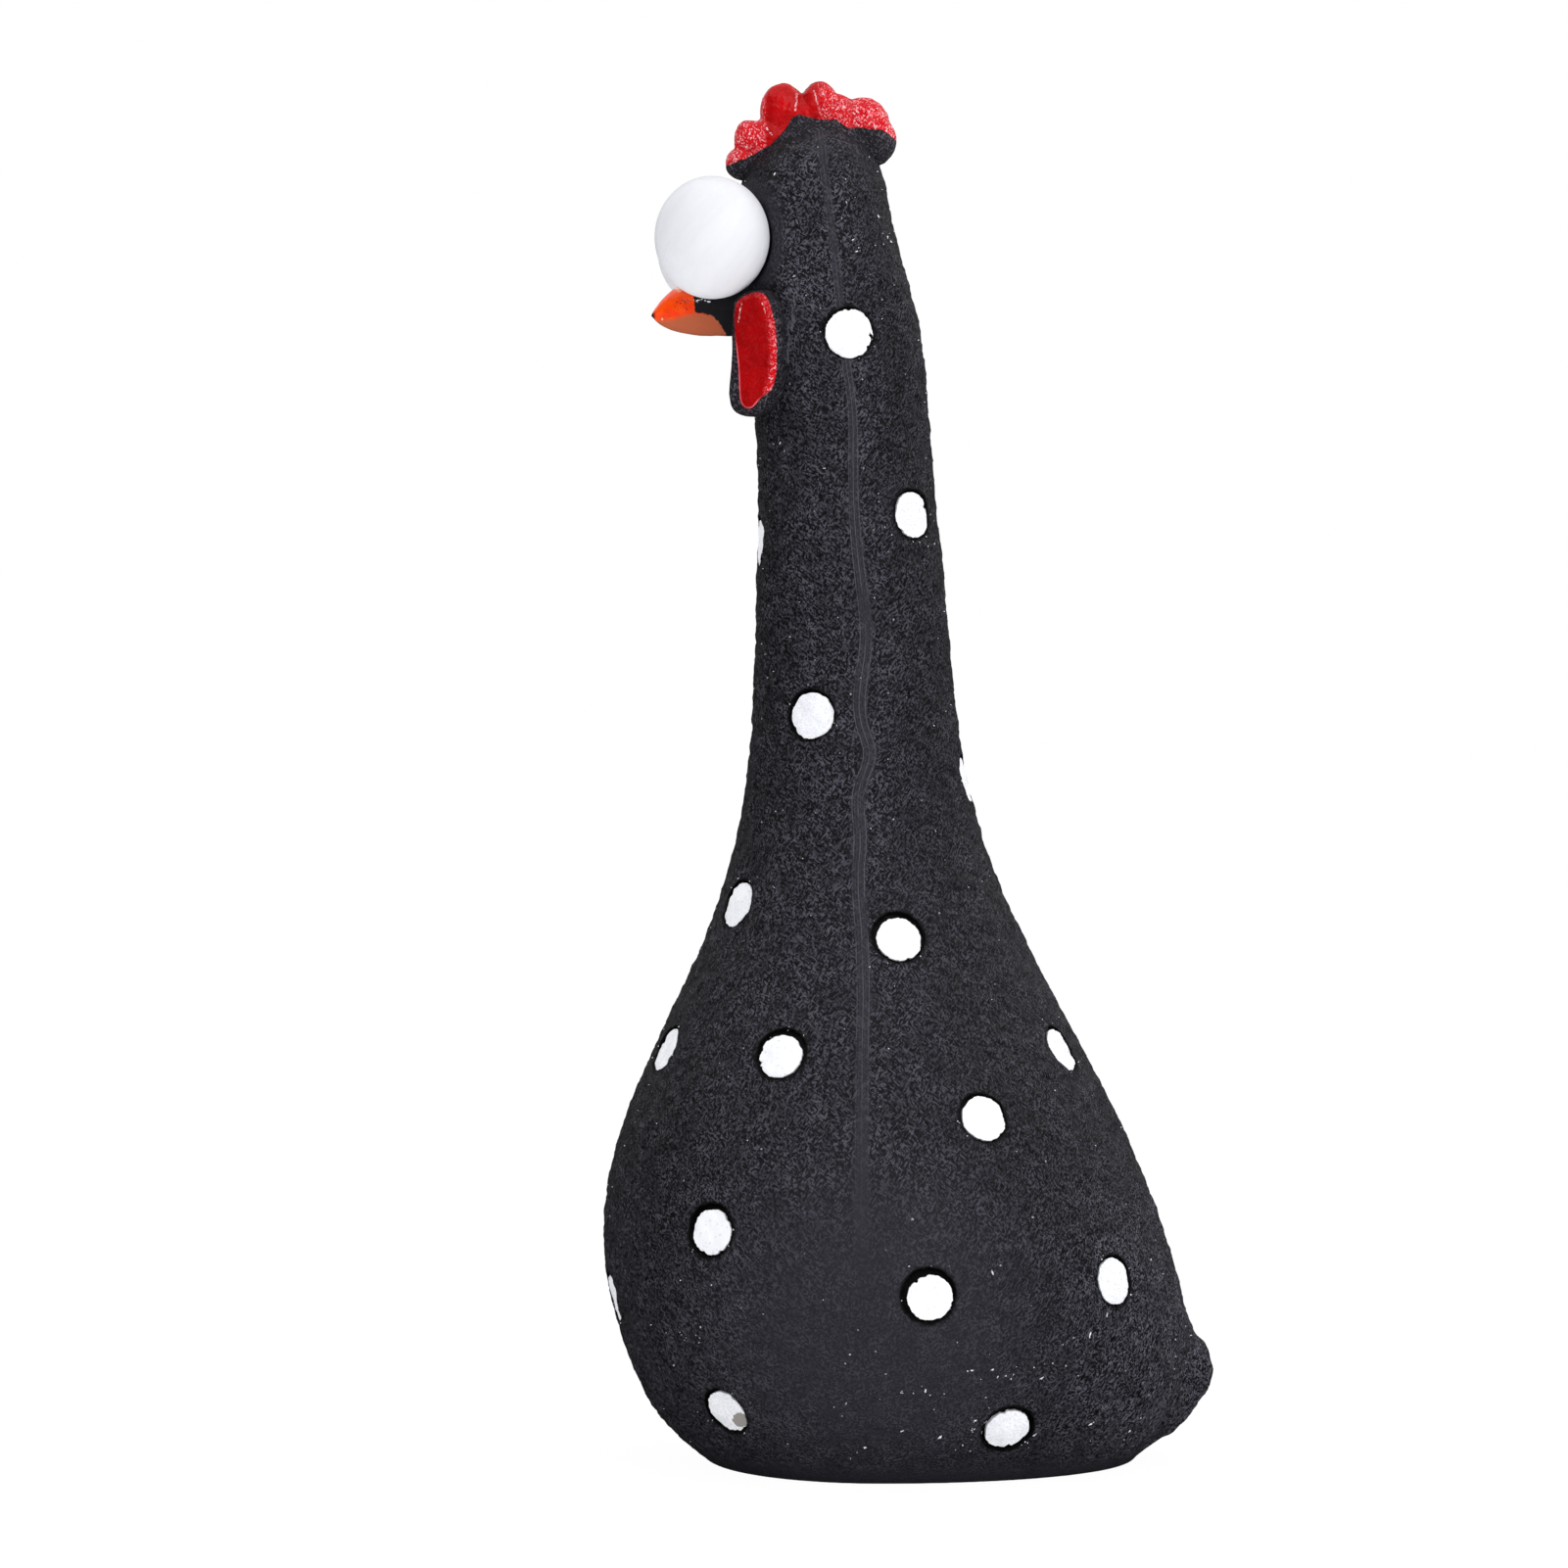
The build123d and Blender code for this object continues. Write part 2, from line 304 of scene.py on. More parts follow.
    @staticmethod
    def join(name: str, pieces: list[Piece]) -> Piece:
        """Join several meshes into one object.

        Args:
            name: The joined object's name.
            pieces: The objects to join.

        Returns:
            The joined object.
        """
        Bench.pick(*pieces)
        bpy.ops.object.join()
        return Bench.fresh(name)

    @staticmethod
    def place(piece: Piece, matrix: Matrix) -> None:
        """Put a piece somewhere and write its place into its mesh.

        Args:
            piece: The mesh object, at the origin.
            matrix: Where it goes.
        """
        Bench.pick(piece)
        piece.matrix_world = matrix
        bpy.ops.object.transform_apply(location=True, rotation=True, scale=True)

    @staticmethod
    def copy(piece: Piece, name: str) -> Piece:
        """Copy a piece together with its mesh.

        Args:
            piece: The mesh object to copy.
            name: The copy's name.

        Returns:
            The copy.
        """
        Bench.pick(piece)
        bpy.ops.object.duplicate(linked=False)
        return Bench.fresh(name)

    @staticmethod
    def twin(piece: Piece, name: str) -> Piece:
        """Copy a piece to the bird's other side.

        Args:
            piece: The mesh object to copy.
            name: The twin's name.

        Returns:
            The mirrored copy.
        """
        twin = Bench.copy(piece, name)
        with Bench.editing(twin):
            bpy.ops.transform.mirror(constraint_axis=(True, False, False), center_override=(0, 0, 0))
            Bench.face_outwards()
        return twin

    @staticmethod
    def soften(piece: Piece, sharp_angle: float) -> None:
        """Shade a piece smooth, apart from edges sharper than an angle in degrees."""
        Bench.pick(piece)
        bpy.ops.object.shade_smooth_by_angle(angle=math.radians(sharp_angle))

    @staticmethod
    def rows(source: Collection, key: str) -> Rows:
        """Read three numbers for each corner.

        Args:
            source: A mesh's corners or their normals.
            key: Blender's name for the numbers.

        Returns:
            One row for each corner.
        """
        flat = np.empty(len(source) * 3, np.float32)
        source.foreach_get(key, flat)
        return flat.reshape(-1, 3).astype(float)

    @staticmethod
    def corners(piece: Piece) -> Rows:
        """Read a mesh's corners, one row of x, y and z in millimetres each."""
        return Bench.rows(piece.data.vertices, "co") / MM

    @staticmethod
    def move_corners(piece: Piece, places: Rows) -> None:
        """Write a mesh's corners back, one row of x, y and z in millimetres each."""
        piece.data.vertices.foreach_set("co", (places * MM).astype(np.float32).ravel())
        piece.data.update()

    @staticmethod
    def mask(piece: Piece, **masks: Rows | float) -> None:
        """Keep numbers for each corner, for a finish to read.

        Args:
            piece: The mesh object.
            masks: One number for each corner, or one for all, by the attribute's name.
        """
        for name, values in masks.items():
            layer = piece.data.attributes.new(name, "FLOAT", "POINT")
            layer.data.foreach_set("value", np.broadcast_to(values, len(layer.data)).astype(np.float32))

    @staticmethod
    def weigh(piece: Piece, name: str, values: Rows, steps: int = 24) -> None:
        """Make a vertex group from one weight for each corner.

        Args:
            piece: The mesh object.
            name: The group's name.
            values: One weight from 0 to 1 for each corner.
            steps: How many levels the weights are rounded to.
        """
        group = piece.vertex_groups.new(name=name)
        levels = np.rint(np.clip(values, 0, 1) * steps).astype(int)
        for level in range(1, steps + 1):
            group.add(np.nonzero(levels == level)[0].tolist(), level / steps, "REPLACE")

    @staticmethod
    def dress(piece: Piece, material: Material) -> None:
        """Give a piece one material all over."""
        piece.data.materials.clear()
        piece.data.materials.append(material)

    @staticmethod
    def mount(piece: Piece, slot: str, *nodes: str) -> None:
        """Set a finished piece on the frame.

        Args:
            piece: The finished object.
            slot: The record's material slot; not used.
            nodes: The solids that the piece stands for.
        """
        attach(piece, BODY)
        if nodes:
            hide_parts(*nodes)
        LOG.info("%s: %d corners", piece.name, len(piece.data.vertices))


class Wiring:
    """Short hand for wiring one node tree."""

    def __init__(self, tree: Tree) -> None:
        """Start with a tree to wire."""
        self.tree = tree

    def add(self, kind: str, inputs: dict[str | int, object] | None = None,
            **settings: object) -> bpy.types.Node:
        """Add a node, set it up and wire its inputs.

        Args:
            kind: The node's type, without the ShaderNode prefix.
            inputs: A value or an output for each input that matters.
            settings: Values for the node's own properties.

        Returns:
            The new node.
        """
        node = self.tree.nodes.new("ShaderNode" + kind)
        for key, value in settings.items():
            setattr(node, key, value)
        for key, value in (inputs or {}).items():
            self.feed(node.inputs[key], value)
        return node

    def feed(self, socket: Socket, value: object) -> None:
        """Wire an output into a socket, or set the socket to a plain value.

        Args:
            socket: The input.
            value: A value or an output.
        """
        if isinstance(value, Socket):
            self.tree.links.new(value, socket)
        else:
            socket.default_value = value

    def math(self, operation: str, first: object, second: object = 0.0, clamp: bool = False) -> Socket:
        """Work out one sum of two values or outputs, kept from 0 to 1 where clamp says so."""
        return self.add("Math", {0: first, 1: second}, operation=operation, use_clamp=clamp).outputs["Value"]

    def times(self, first: object, second: object) -> Socket:
        """Multiply two values or outputs."""
        return self.math("MULTIPLY", first, second)

    def vector(self, operation: str, first: object, second: object) -> Socket:
        """Work out one sum of two vectors."""
        return self.add("VectorMath", {0: first, 1: second}, operation=operation).outputs["Vector"]

    def turned(self, place: Socket, turn: object) -> Socket:
        """Turn coordinates by three angles."""
        inputs = {"Vector": place, "Rotation": turn}
        return self.add("VectorRotate", inputs, rotation_type="EULER_XYZ").outputs["Vector"]

    def spread(self, value: Socket, low: float, high: float, to_low: float = 0.0,
               to_high: float = 1.0) -> Socket:
        """Ramp a value smoothly from the range low to high to the range to_low to to_high."""
        inputs = {"Value": value, "From Min": low, "From Max": high, "To Min": to_low, "To Max": to_high}
        return self.add("MapRange", inputs, interpolation_type="SMOOTHSTEP").outputs["Result"]

    def mix(self, share: object, first: object, second: object) -> Socket:
        """Mix two colours, by the share that the second has."""
        return self.add("Mix", {0: share, 6: first, 7: second}, data_type="RGBA").outputs[2]

    def blend(self, share: object, first: object, second: object) -> Socket:
        """Mix two numbers, by the share that the second has."""
        return self.add("Mix", {0: share, 2: first, 3: second}, data_type="FLOAT").outputs[0]

    def cloud(self, place: Socket, scale: object, detail: float = 2.0, roughness: float = 0.5,
              distortion: float = 0.0) -> Collection:
        """Cloudy noise.

        Args:
            place: The coordinates' output.
            scale: How many blotches there are to the metre.
            detail: How many finer layers there are.
            roughness: How strong the finer layers are.
            distortion: How far the blotches are dragged about.

        Returns:
            The noise's outputs, Fac and Color.
        """
        inputs = {"Vector": place, "Scale": scale, "Detail": detail, "Roughness": roughness,
                  "Distortion": distortion}
        return self.add("TexNoise", inputs).outputs

    def noise(self, place: Socket, size: float, detail: float = 2.0, distortion: float = 0.0) -> Socket:
        """Cloudy noise whose blotches are about as large as a size in millimetres."""
        return self.cloud(place, 1 / (size * MM), detail, 0.5, distortion)["Fac"]

    def mask(self, name: str) -> Socket:
        """Read one number that was kept on the mesh."""
        return self.add("Attribute", attribute_name=name).outputs["Fac"]


class Effects:
    """Shader node groups that more than one finish uses, each built once."""

    built: dict[str, Tree] = {}

    @classmethod
    def place(cls, wires: Wiring, effect: Callable[[], Tree], inputs: dict[str, object]) -> Collection:
        """Place an effect in a finish.

        Args:
            wires: The finish's wiring.
            effect: The method of this class that builds the effect.
            inputs: A value or an output for each input.

        Returns:
            The effect's outputs.
        """
        if effect.__name__ not in cls.built:
            cls.built[effect.__name__] = effect()
        return wires.add("Group", inputs, node_tree=cls.built[effect.__name__]).outputs

    @staticmethod
    def start(name: str, inputs: dict[str, str], outputs: tuple[str, ...]) -> tuple[Wiring, dict, dict]:
        """Open an empty group.

        Args:
            name: The group's name.
            inputs: Each input's name and kind of socket, apart from the place.
            outputs: The outputs' names, all of them numbers.

        Returns:
            The wiring, the inputs' outputs by name and the outputs' inputs by name.
        """
        tree = bpy.data.node_groups.new(name, "ShaderNodeTree")
        inputs = {"Place": "Vector", **inputs}
        for key, kind in inputs.items():
            tree.interface.new_socket(name=key, in_out="INPUT", socket_type="NodeSocket" + kind)
        for key in outputs:
            tree.interface.new_socket(name=key, in_out="OUTPUT", socket_type="NodeSocketFloat")
        entry = tree.nodes.new("NodeGroupInput")
        exit_ = tree.nodes.new("NodeGroupOutput")
        return Wiring(tree), {k: entry.outputs[k] for k in inputs}, {k: exit_.inputs[k] for k in outputs}

    @classmethod
    def sand_grain(cls) -> Tree:
        """Fine sand under paint.

        Returns:
            A group with a height, a mask of the grains that are painted lighter as painted highlights, and
            slow patches.
        """
        wires, given, made = cls.start(
            "sand grain", {"Grains": "Float", "Patches": "Float"}, ("Height", "Glint", "Patch"))
        place, scale = given["Place"], given["Grains"]
        strokes = []
        for lean in (0.6, -0.85):
            drawn = wires.vector("MULTIPLY", wires.turned(place, (lean, 0.35, 0.2)), (1.0, 0.8, 0.27))
            strokes.append(wires.cloud(drawn, scale, 0.0, 0.5, 0.5)["Fac"])
        coarse = wires.cloud(place, wires.times(scale, 0.3), 1.0, 0.5, 0.8)["Fac"]
        fine = wires.blend(wires.spread(coarse, 0.46, 0.54), *strokes)
        worms = wires.math("ABSOLUTE", wires.math("SUBTRACT", coarse, 0.5))
        worms = wires.spread(worms, 0.0, 0.13, 1.0, 0.0)
        grains = wires.times(wires.spread(fine, 0.36, 0.64), 0.84)
        height = wires.math("ADD", grains, wires.times(worms, 0.16))
        wires.feed(made["Height"], height)
        patch = wires.spread(wires.cloud(place, given["Patches"], 4.0, 0.6)["Fac"], 0.32, 0.66)
        wires.feed(made["Patch"], patch)
        dimmed = wires.spread(patch, 0.0, 1.0, 0.45, 1.0)
        # Glint: the high grains, painted lighter by the finishes as painted highlights.
        wires.feed(made["Glint"], wires.times(wires.spread(height, 0.6, 0.96), dimmed))
        return wires.tree

    @classmethod
    def flecks(cls) -> Tree:
        """Scattered specks.

        Returns:
            A group with a mask of small ragged spots in a share of the cells.
        """
        wires, given, made = cls.start(
            "flecks", {"Cells": "Float", "Share": "Float", "Radius": "Float"}, ("Mask",))
        wander = wires.cloud(given["Place"], wires.times(given["Cells"], 4.0), 1.0)["Color"]
        pushed = wires.add("VectorMath", {0: wander, 3: 0.00025}, operation="SCALE").outputs["Vector"]
        place = wires.vector("ADD", given["Place"], pushed)
        spots = wires.add("TexVoronoi", {"Vector": place, "Scale": given["Cells"]}, feature="F1").outputs
        chance, size, _ = wires.add("SeparateColor", {0: spots["Color"]}).outputs
        radius = wires.times(given["Radius"], wires.spread(size, 0.0, 1.0, 0.4, 1.3))
        inside = wires.math("LESS_THAN", spots["Distance"], radius)
        wires.feed(made["Mask"], wires.times(inside, wires.math("LESS_THAN", chance, given["Share"])))
        return wires.tree

    @classmethod
    def brushwork(cls) -> Tree:
        """Strokes of a stiff brush.

        Returns:
            A group with a height and a slight change of tone.
        """
        wires, given, made = cls.start(
            "brushwork", {"Turn": "Vector", "Stretch": "Vector"}, ("Height", "Tone"))
        drawn = wires.vector("MULTIPLY", wires.turned(given["Place"], given["Turn"]), given["Stretch"])
        hairs = wires.cloud(drawn, 1.0, 4.0, 0.6, 0.6)["Fac"]
        wide = wires.cloud(drawn, 0.23, 1.0)["Fac"]
        wires.feed(made["Height"], wires.math("ADD", hairs, wires.times(wide, 0.6)))
        wires.feed(made["Tone"], wires.spread(wide, 0.3, 0.7))
        return wires.tree

    @classmethod
    def paint_edge(cls) -> Tree:
        """Hand-painted edge.

        Returns:
            A group with a mask, 0 below and 1 above a line that wobbles a little.
        """
        wires, given, made = cls.start(
            "paint edge", {"Distance": "Float", "Wobble": "Float", "Softness": "Float"}, ("Mask",))
        slow = wires.cloud(given["Place"], 900.0, 3.0, 0.65)["Fac"]
        shift = wires.times(wires.math("SUBTRACT", slow, 0.5), given["Wobble"])
        line = wires.math("ADD", given["Distance"], shift)
        wires.feed(made["Mask"], wires.math("DIVIDE", line, given["Softness"], clamp=True))
        return wires.tree


class Finish:
    """A material with one shader in it."""

    def __init__(self, name: str) -> None:
        """Open an empty material.

        Args:
            name: The material's name.
        """
        self.material = bpy.data.materials.new(name)
        self.material.use_nodes = True
        tree = self.material.node_tree
        tree.nodes.clear()
        self.wires = Wiring(tree)
        self.shader = self.wires.add("BsdfPrincipled")
        self.output = self.wires.add("OutputMaterial", {"Surface": self.shader.outputs["BSDF"]})
        self.place = self.wires.add("TexCoord").outputs["Object"]

    def effect(self, effect: Callable[[], Tree], **inputs: object) -> Collection:
        """Place an effect that reads the surface's place in the frame, and give its outputs."""
        return Effects.place(self.wires, effect, {"Place": self.place, **inputs})

    def set(self, **inputs: object) -> None:
        """Set or wire the shader's sockets, whose names are given with underscores."""
        for key, value in inputs.items():
            self.wires.feed(self.shader.inputs[key.replace("_", " ")], value)

    def bump(self, height: Socket, depth: float, strength: float) -> None:
        """Raise the surface by a height, where 1 is a depth in millimetres, as far as strength says."""
        node = self.wires.add("Bump", {"Height": height, "Distance": depth * MM, "Strength": strength})
        self.set(Normal=node.outputs["Normal"])


@dataclass(frozen=True)
class SandyBlack:
    """Matt black paint with sand in it, on the castings."""

    # pit and pocket are painted shade, glint a painted highlight; the fleck specks also stand in for tiny
    # glints.
    pit: Colour = (0.0026, 0.0025, 0.0036, 1)
    ground: Colour = (0.0148, 0.0142, 0.0205, 1)
    glint: Colour = (0.098, 0.094, 0.120, 1)
    dressed: Colour = (0.0214, 0.0206, 0.0284, 1)
    scratch: Colour = (0.080, 0.078, 0.095, 1)
    pocket: Colour = (0.0009, 0.0008, 0.0009, 1)
    fleck: Colour = (0.26, 0.26, 0.29, 1)
    grain_size: float = 0.21
    patch_size: float = 3.2
    line_pitch: float = 0.85
    line_wander: float = 0.26
    streak_pitch: float = 0.38
    streak_size: float = 0.36
    fade: Pair = (28.0, 86.0)
    # How far the painted shade on the breast and the back darkens the ground.
    shading: float = 0.8

    def make(self) -> Material:
        """Build the material.

        Returns:
            The material, which reads the masks sandy, glinty, shaded, seam, pocket and tooled; glinty weighs
            painted glints, shaded and pocket weigh painted shade.
        """
        finish = Finish("body_sandy_black")
        wires = finish.wires
        sandy = wires.mask("sandy")
        grain = finish.effect(
            Effects.sand_grain, Grains=1 / (self.grain_size * MM), Patches=1 / (self.patch_size * MM))
        height = grain["Height"]
        # Painted shade in the pits: the low grain is painted darker.
        colour = wires.mix(wires.spread(height, 0.06, 0.34), self.pit, self.ground)
        # Painted shade: the ground is painted darker towards the pit colour on the breast and the back.
        colour = wires.mix(wires.times(wires.mask("shaded"), self.shading), colour, self.pit)
        # Painted highlights: the high grains are painted lighter, as far as the glinty mask says.
        colour = wires.mix(wires.times(grain["Glint"], wires.mask("glinty")), colour, self.glint)
        colour = wires.mix(wires.spread(sandy, 0.2, 1.0, 0.1, 1.0), self.dressed, colour)
        lines = wires.math("MAXIMUM", self.seam_lines(finish), self.tool_streaks(finish))
        colour = wires.mix(lines, colour, self.scratch)
        # Light specks: partly paint specks, partly tiny glints painted in as painted highlights.
        specks = finish.effect(Effects.flecks, Cells=480.0, Share=0.16, Radius=0.062)
        colour = wires.mix(specks["Mask"], colour, self.fleck)
        # Painted shade round each pocket's mouth, where the pocket mask is set.
        colour = wires.mix(wires.mask("pocket"), colour, self.pocket)
        relief = wires.times(height, wires.spread(sandy, 0.0, 1.0, 0.1, 1.0))
        finish.bump(wires.math("ADD", relief, wires.times(lines, 0.2)), 0.13, 0.85)
        rough = wires.spread(sandy, 0.0, 1.0, 0.52, 0.64)
        finish.set(Base_Color=colour, Roughness=rough, Specular_IOR_Level=0.17)
        return finish.material

    def tool_streaks(self, finish: Finish) -> Socket:
        """Wavy upright strokes left by a modelling tool.

        Args:
            finish: The material.

        Returns:
            A mask of the strokes, where the mask tooled lets them show.
        """
        wires = finish.wires
        drawn = wires.vector("MULTIPLY", finish.place, (1.0, 1.0, 0.14))
        strokes = wires.spread(wires.noise(drawn, self.streak_size, distortion=0.8), 0.54, 0.64)
        return wires.times(strokes, wires.mask("tooled"))

    def seam_lines(self, finish: Finish) -> Socket:
        """Fine wandering lines along the dressed seam.

        Args:
            finish: The material.

        Returns:
            A mask of the lines.
        """
        wires = finish.wires
        seam = wires.mask("seam")
        stretched = wires.vector("MULTIPLY", finish.place, (1.0, 1.0, 0.12))
        wander = wires.math("SUBTRACT", wires.noise(stretched, 2.6), 0.5)
        across = wires.math("ADD", seam, wires.times(wander, self.line_wander))
        thin = wires.math("PINGPONG", across, self.line_pitch / 2)
        thin = wires.spread(thin, 0.0, self.line_pitch * 0.11, 1.0, 0.0)
        broken = wires.spread(wires.noise(stretched, 1.5), 0.36, 0.54)
        ripple = wires.math("PINGPONG", across, self.streak_pitch / 2)
        ripple = wires.spread(ripple, 0.0, self.streak_pitch * 0.3, 0.16, 0.0)
        lines = wires.math("MAXIMUM", wires.times(thin, broken), ripple)
        middle = wires.math("ABSOLUTE", wires.math("SUBTRACT", seam, self.line_pitch))
        lines = wires.times(lines, wires.spread(middle, 0.95, 1.35, 1.0, 0.0))
        height = wires.add("SeparateXYZ", {0: finish.place}).outputs["Z"]
        return wires.times(lines, wires.spread(height, *metres(*self.fade)))


@dataclass(frozen=True)
class PlateBlack:
    """Dull black cast resin of the plate that closes the foot."""

    ground: Colour = (0.009, 0.009, 0.0105, 1)
    worn: Colour = (0.032, 0.031, 0.031, 1)
    scuff_turn: float = 24.0

    def make(self) -> Material:
        """Build the material.

        Returns:
            The material.
        """
        finish = Finish("plate_dull_black")
        wires = finish.wires
        grain = finish.effect(Effects.sand_grain, Grains=1200.0, Patches=90.0)
        turn = (0.0, 0.0, math.radians(self.scuff_turn))
        scuffs = finish.effect(Effects.brushwork, Turn=turn, Stretch=(700.0, 60.0, 700.0))
        wear = wires.times(grain["Patch"], wires.spread(scuffs["Height"], 0.85, 1.1))
        finish.set(Base_Color=wires.mix(wear, self.ground, self.worn), Specular_IOR_Level=0.3)
        finish.set(Roughness=wires.spread(grain["Height"], 0.0, 1.0, 0.55, 0.8))
        finish.bump(grain["Height"], 0.12, 0.6)
        return finish.material


@dataclass(frozen=True)
class BallWhite:
    """Glossy white brushed over the ball eyes, with a black pupil at the front."""

    white: Colour = (0.665, 0.67, 0.705, 1)
    shade: Colour = (0.638, 0.647, 0.688, 1)
    pupil: Colour = (0.006, 0.006, 0.007, 1)
    pupil_turn: float = 19.0
    pupil_angle: float = 15.0
    pupil_blur: float = 0.03
    stroke_turn: float = 38.0

    def make(self, centre: Vector, radii: Vector) -> Material:
        """Build the material for a pair of eyes.

        Args:
            centre: The left eye's centre, in metres.
            radii: The eye's radii, in metres.

        Returns:
            The material.
        """
        finish = Finish("eye_white_brushed")
        wires = finish.wires
        x, y, z = wires.add("SeparateXYZ", {0: finish.place}).outputs
        mirrored = wires.add("CombineXYZ", {0: wires.math("ABSOLUTE", x), 1: y, 2: z}).outputs[0]
        unit = wires.vector("DIVIDE", wires.vector("SUBTRACT", mirrored, centre), radii)
        turn = math.radians(self.pupil_turn)
        ahead = (-math.sin(turn), -math.cos(turn), 0.0)
        away = wires.add("VectorMath", {0: unit, 1: ahead}, operation="DISTANCE").outputs["Value"]
        away = wires.math("ADD", away, wires.times(wires.noise(finish.place, 0.9), self.pupil_blur))
        reach = 2 * math.sin(math.radians(self.pupil_angle) / 2)
        pupil = wires.spread(away, reach, reach + self.pupil_blur, 1.0, 0.0)
        slant = (math.radians(self.stroke_turn), 0.0, 0.0)
        strokes = finish.effect(Effects.brushwork, Turn=slant, Stretch=(1500.0, 2400.0, 230.0))
        colour = wires.mix(strokes["Tone"], self.white, self.shade)
        finish.set(Base_Color=wires.mix(pupil, colour, self.pupil), Specular_IOR_Level=0.3)
        finish.set(Roughness=wires.spread(strokes["Height"], 0.4, 1.2, 0.38, 0.55))
        finish.bump(strokes["Height"], 0.1, 0.9)
        return finish.material


@dataclass(frozen=True)
class DotEnamel:
    """White enamel brushed into the pockets."""

    white: Colour = (0.83, 0.838, 0.865, 1)
    thin: Colour = (0.60, 0.615, 0.68, 1)
    chip: Colour = (0.27, 0.25, 0.24, 1)
    stroke_turn: float = -28.0

    def make(self) -> Material:
        """Build the material.

        Returns:
            The material, which reads the masks chipped and mottled.
        """
        finish = Finish("dot_enamel")
        wires = finish.wires
        slant = (math.radians(self.stroke_turn), 0.0, 0.0)
        strokes = finish.effect(Effects.brushwork, Turn=slant, Stretch=(1500.0, 1500.0, 420.0))
        specks = finish.effect(Effects.flecks, Cells=2100.0, Share=0.42, Radius=0.32)
        mottle = wires.spread(wires.noise(finish.place, 0.3, 3.0), 0.45, 0.62)
        colour = wires.mix(wires.times(strokes["Tone"], 0.35), self.white, self.thin)
        for share in (wires.times(specks["Mask"], 0.7), wires.times(mottle, wires.mask("mottled"))):
            colour = wires.mix(share, colour, self.thin)
        chipped = wires.math("ADD", wires.mask("chipped"), wires.noise(finish.place, 0.5))
        finish.set(Base_Color=wires.mix(wires.spread(chipped, 0.92, 1.04), colour, self.chip))
        finish.set(Roughness=wires.spread(strokes["Height"], 0.4, 1.2, 0.42, 0.6))
        finish.bump(strokes["Height"], 0.08, 0.8)
        return finish.material


@dataclass(frozen=True)
class GlossRed:
    """Glossy red brushed over cast sand, with black left below the paint's edge."""

    red: Colour = (0.43, 0.0018, 0.0030, 1)
    deep: Colour = (0.31, 0.0009, 0.0016, 1)
    # pale serves the frosting and the painted highlight line; spark the sparks and the painted highlight
    # streaks.
    pale: Colour = (0.80, 0.13, 0.165, 1)
    spark: Colour = (0.80, 0.62, 0.65, 1)
    bright: Colour = (0.61, 0.006, 0.010, 1)
    black: Colour = (0.0170, 0.0160, 0.0200, 1)
    black_glint: Colour = (0.085, 0.080, 0.095, 1)
    line_width: float = 0.16

    def make(self, name: str, wobble: float) -> Material:
        """Build the material.

        Args:
            name: The material's name.
            wobble: How far the paint's edge wanders, in millimetres.

        Returns:
            The material, which reads the masks speckle, gleam, lined and paint, the last of them in
            millimetres inside the paint's edge.
        """
        finish = Finish(name)
        wires = finish.wires
        paint, speckle = wires.mask("paint"), wires.mask("speckle")
        edge = finish.effect(Effects.paint_edge, Distance=paint, Wobble=wobble, Softness=0.1)["Mask"]
        grain = finish.effect(Effects.sand_grain, Grains=4700.0, Patches=300.0)
        height = grain["Height"]
        blotch = wires.noise(finish.place, 2.4, 3.0)
        red = wires.mix(wires.spread(blotch, 0.3, 0.7), self.deep, self.red)
        # Where speckle is set: pale frosting of the paint, which also stands in for glints off the sand under
        # the gloss, painted in.
        red = wires.mix(wires.times(speckle, 0.75), red, self.bright)
        frost_and_glints = wires.times(speckle, wires.spread(height, 0.5, 0.9))
        red = wires.mix(wires.times(frost_and_glints, 0.62), red, self.pale)
        sparks = wires.times(wires.times(speckle, speckle), wires.spread(height, 0.88, 1.0, 0.0, 0.75))
        # Painted highlights: pale streaks where the gleam mask is set.
        shine = wires.math("ADD", wires.times(wires.mask("gleam"), 0.62), wires.noise(finish.place, 0.35))
        gleam = wires.times(wires.spread(shine, 0.98, 1.3), 0.8)
        red = wires.mix(wires.math("MAXIMUM", sparks, gleam), red, self.spark)
        # Painted highlight: a pale line just inside the paint's edge, where the lined mask is set.
        line = wires.math("ABSOLUTE", wires.math("SUBTRACT", paint, self.line_width))
        line = wires.times(wires.spread(line, 0.0, self.line_width, 1.0, 0.0), wires.mask("lined"))
        red = wires.mix(wires.times(line, wires.spread(blotch, 0.3, 0.55, 0.3, 0.85)), red, self.pale)
        # Painted highlights: the high grains on the black are painted lighter.
        black = wires.mix(grain["Glint"], self.black, self.black_glint)
        finish.set(Base_Color=wires.mix(edge, black, red), Specular_IOR_Level=0.04)
        finish.set(Roughness=wires.blend(edge, 0.55, wires.spread(speckle, 0.0, 1.0, 0.26, 0.4)))
        finish.set(Coat_Weight=wires.times(edge, 0.16), Coat_Roughness=0.08)
        rough = wires.blend(edge, 0.8, wires.spread(speckle, 0.0, 1.0, 0.1, 0.9))
        finish.bump(wires.times(height, rough), 0.16, 0.9)
        return finish.material


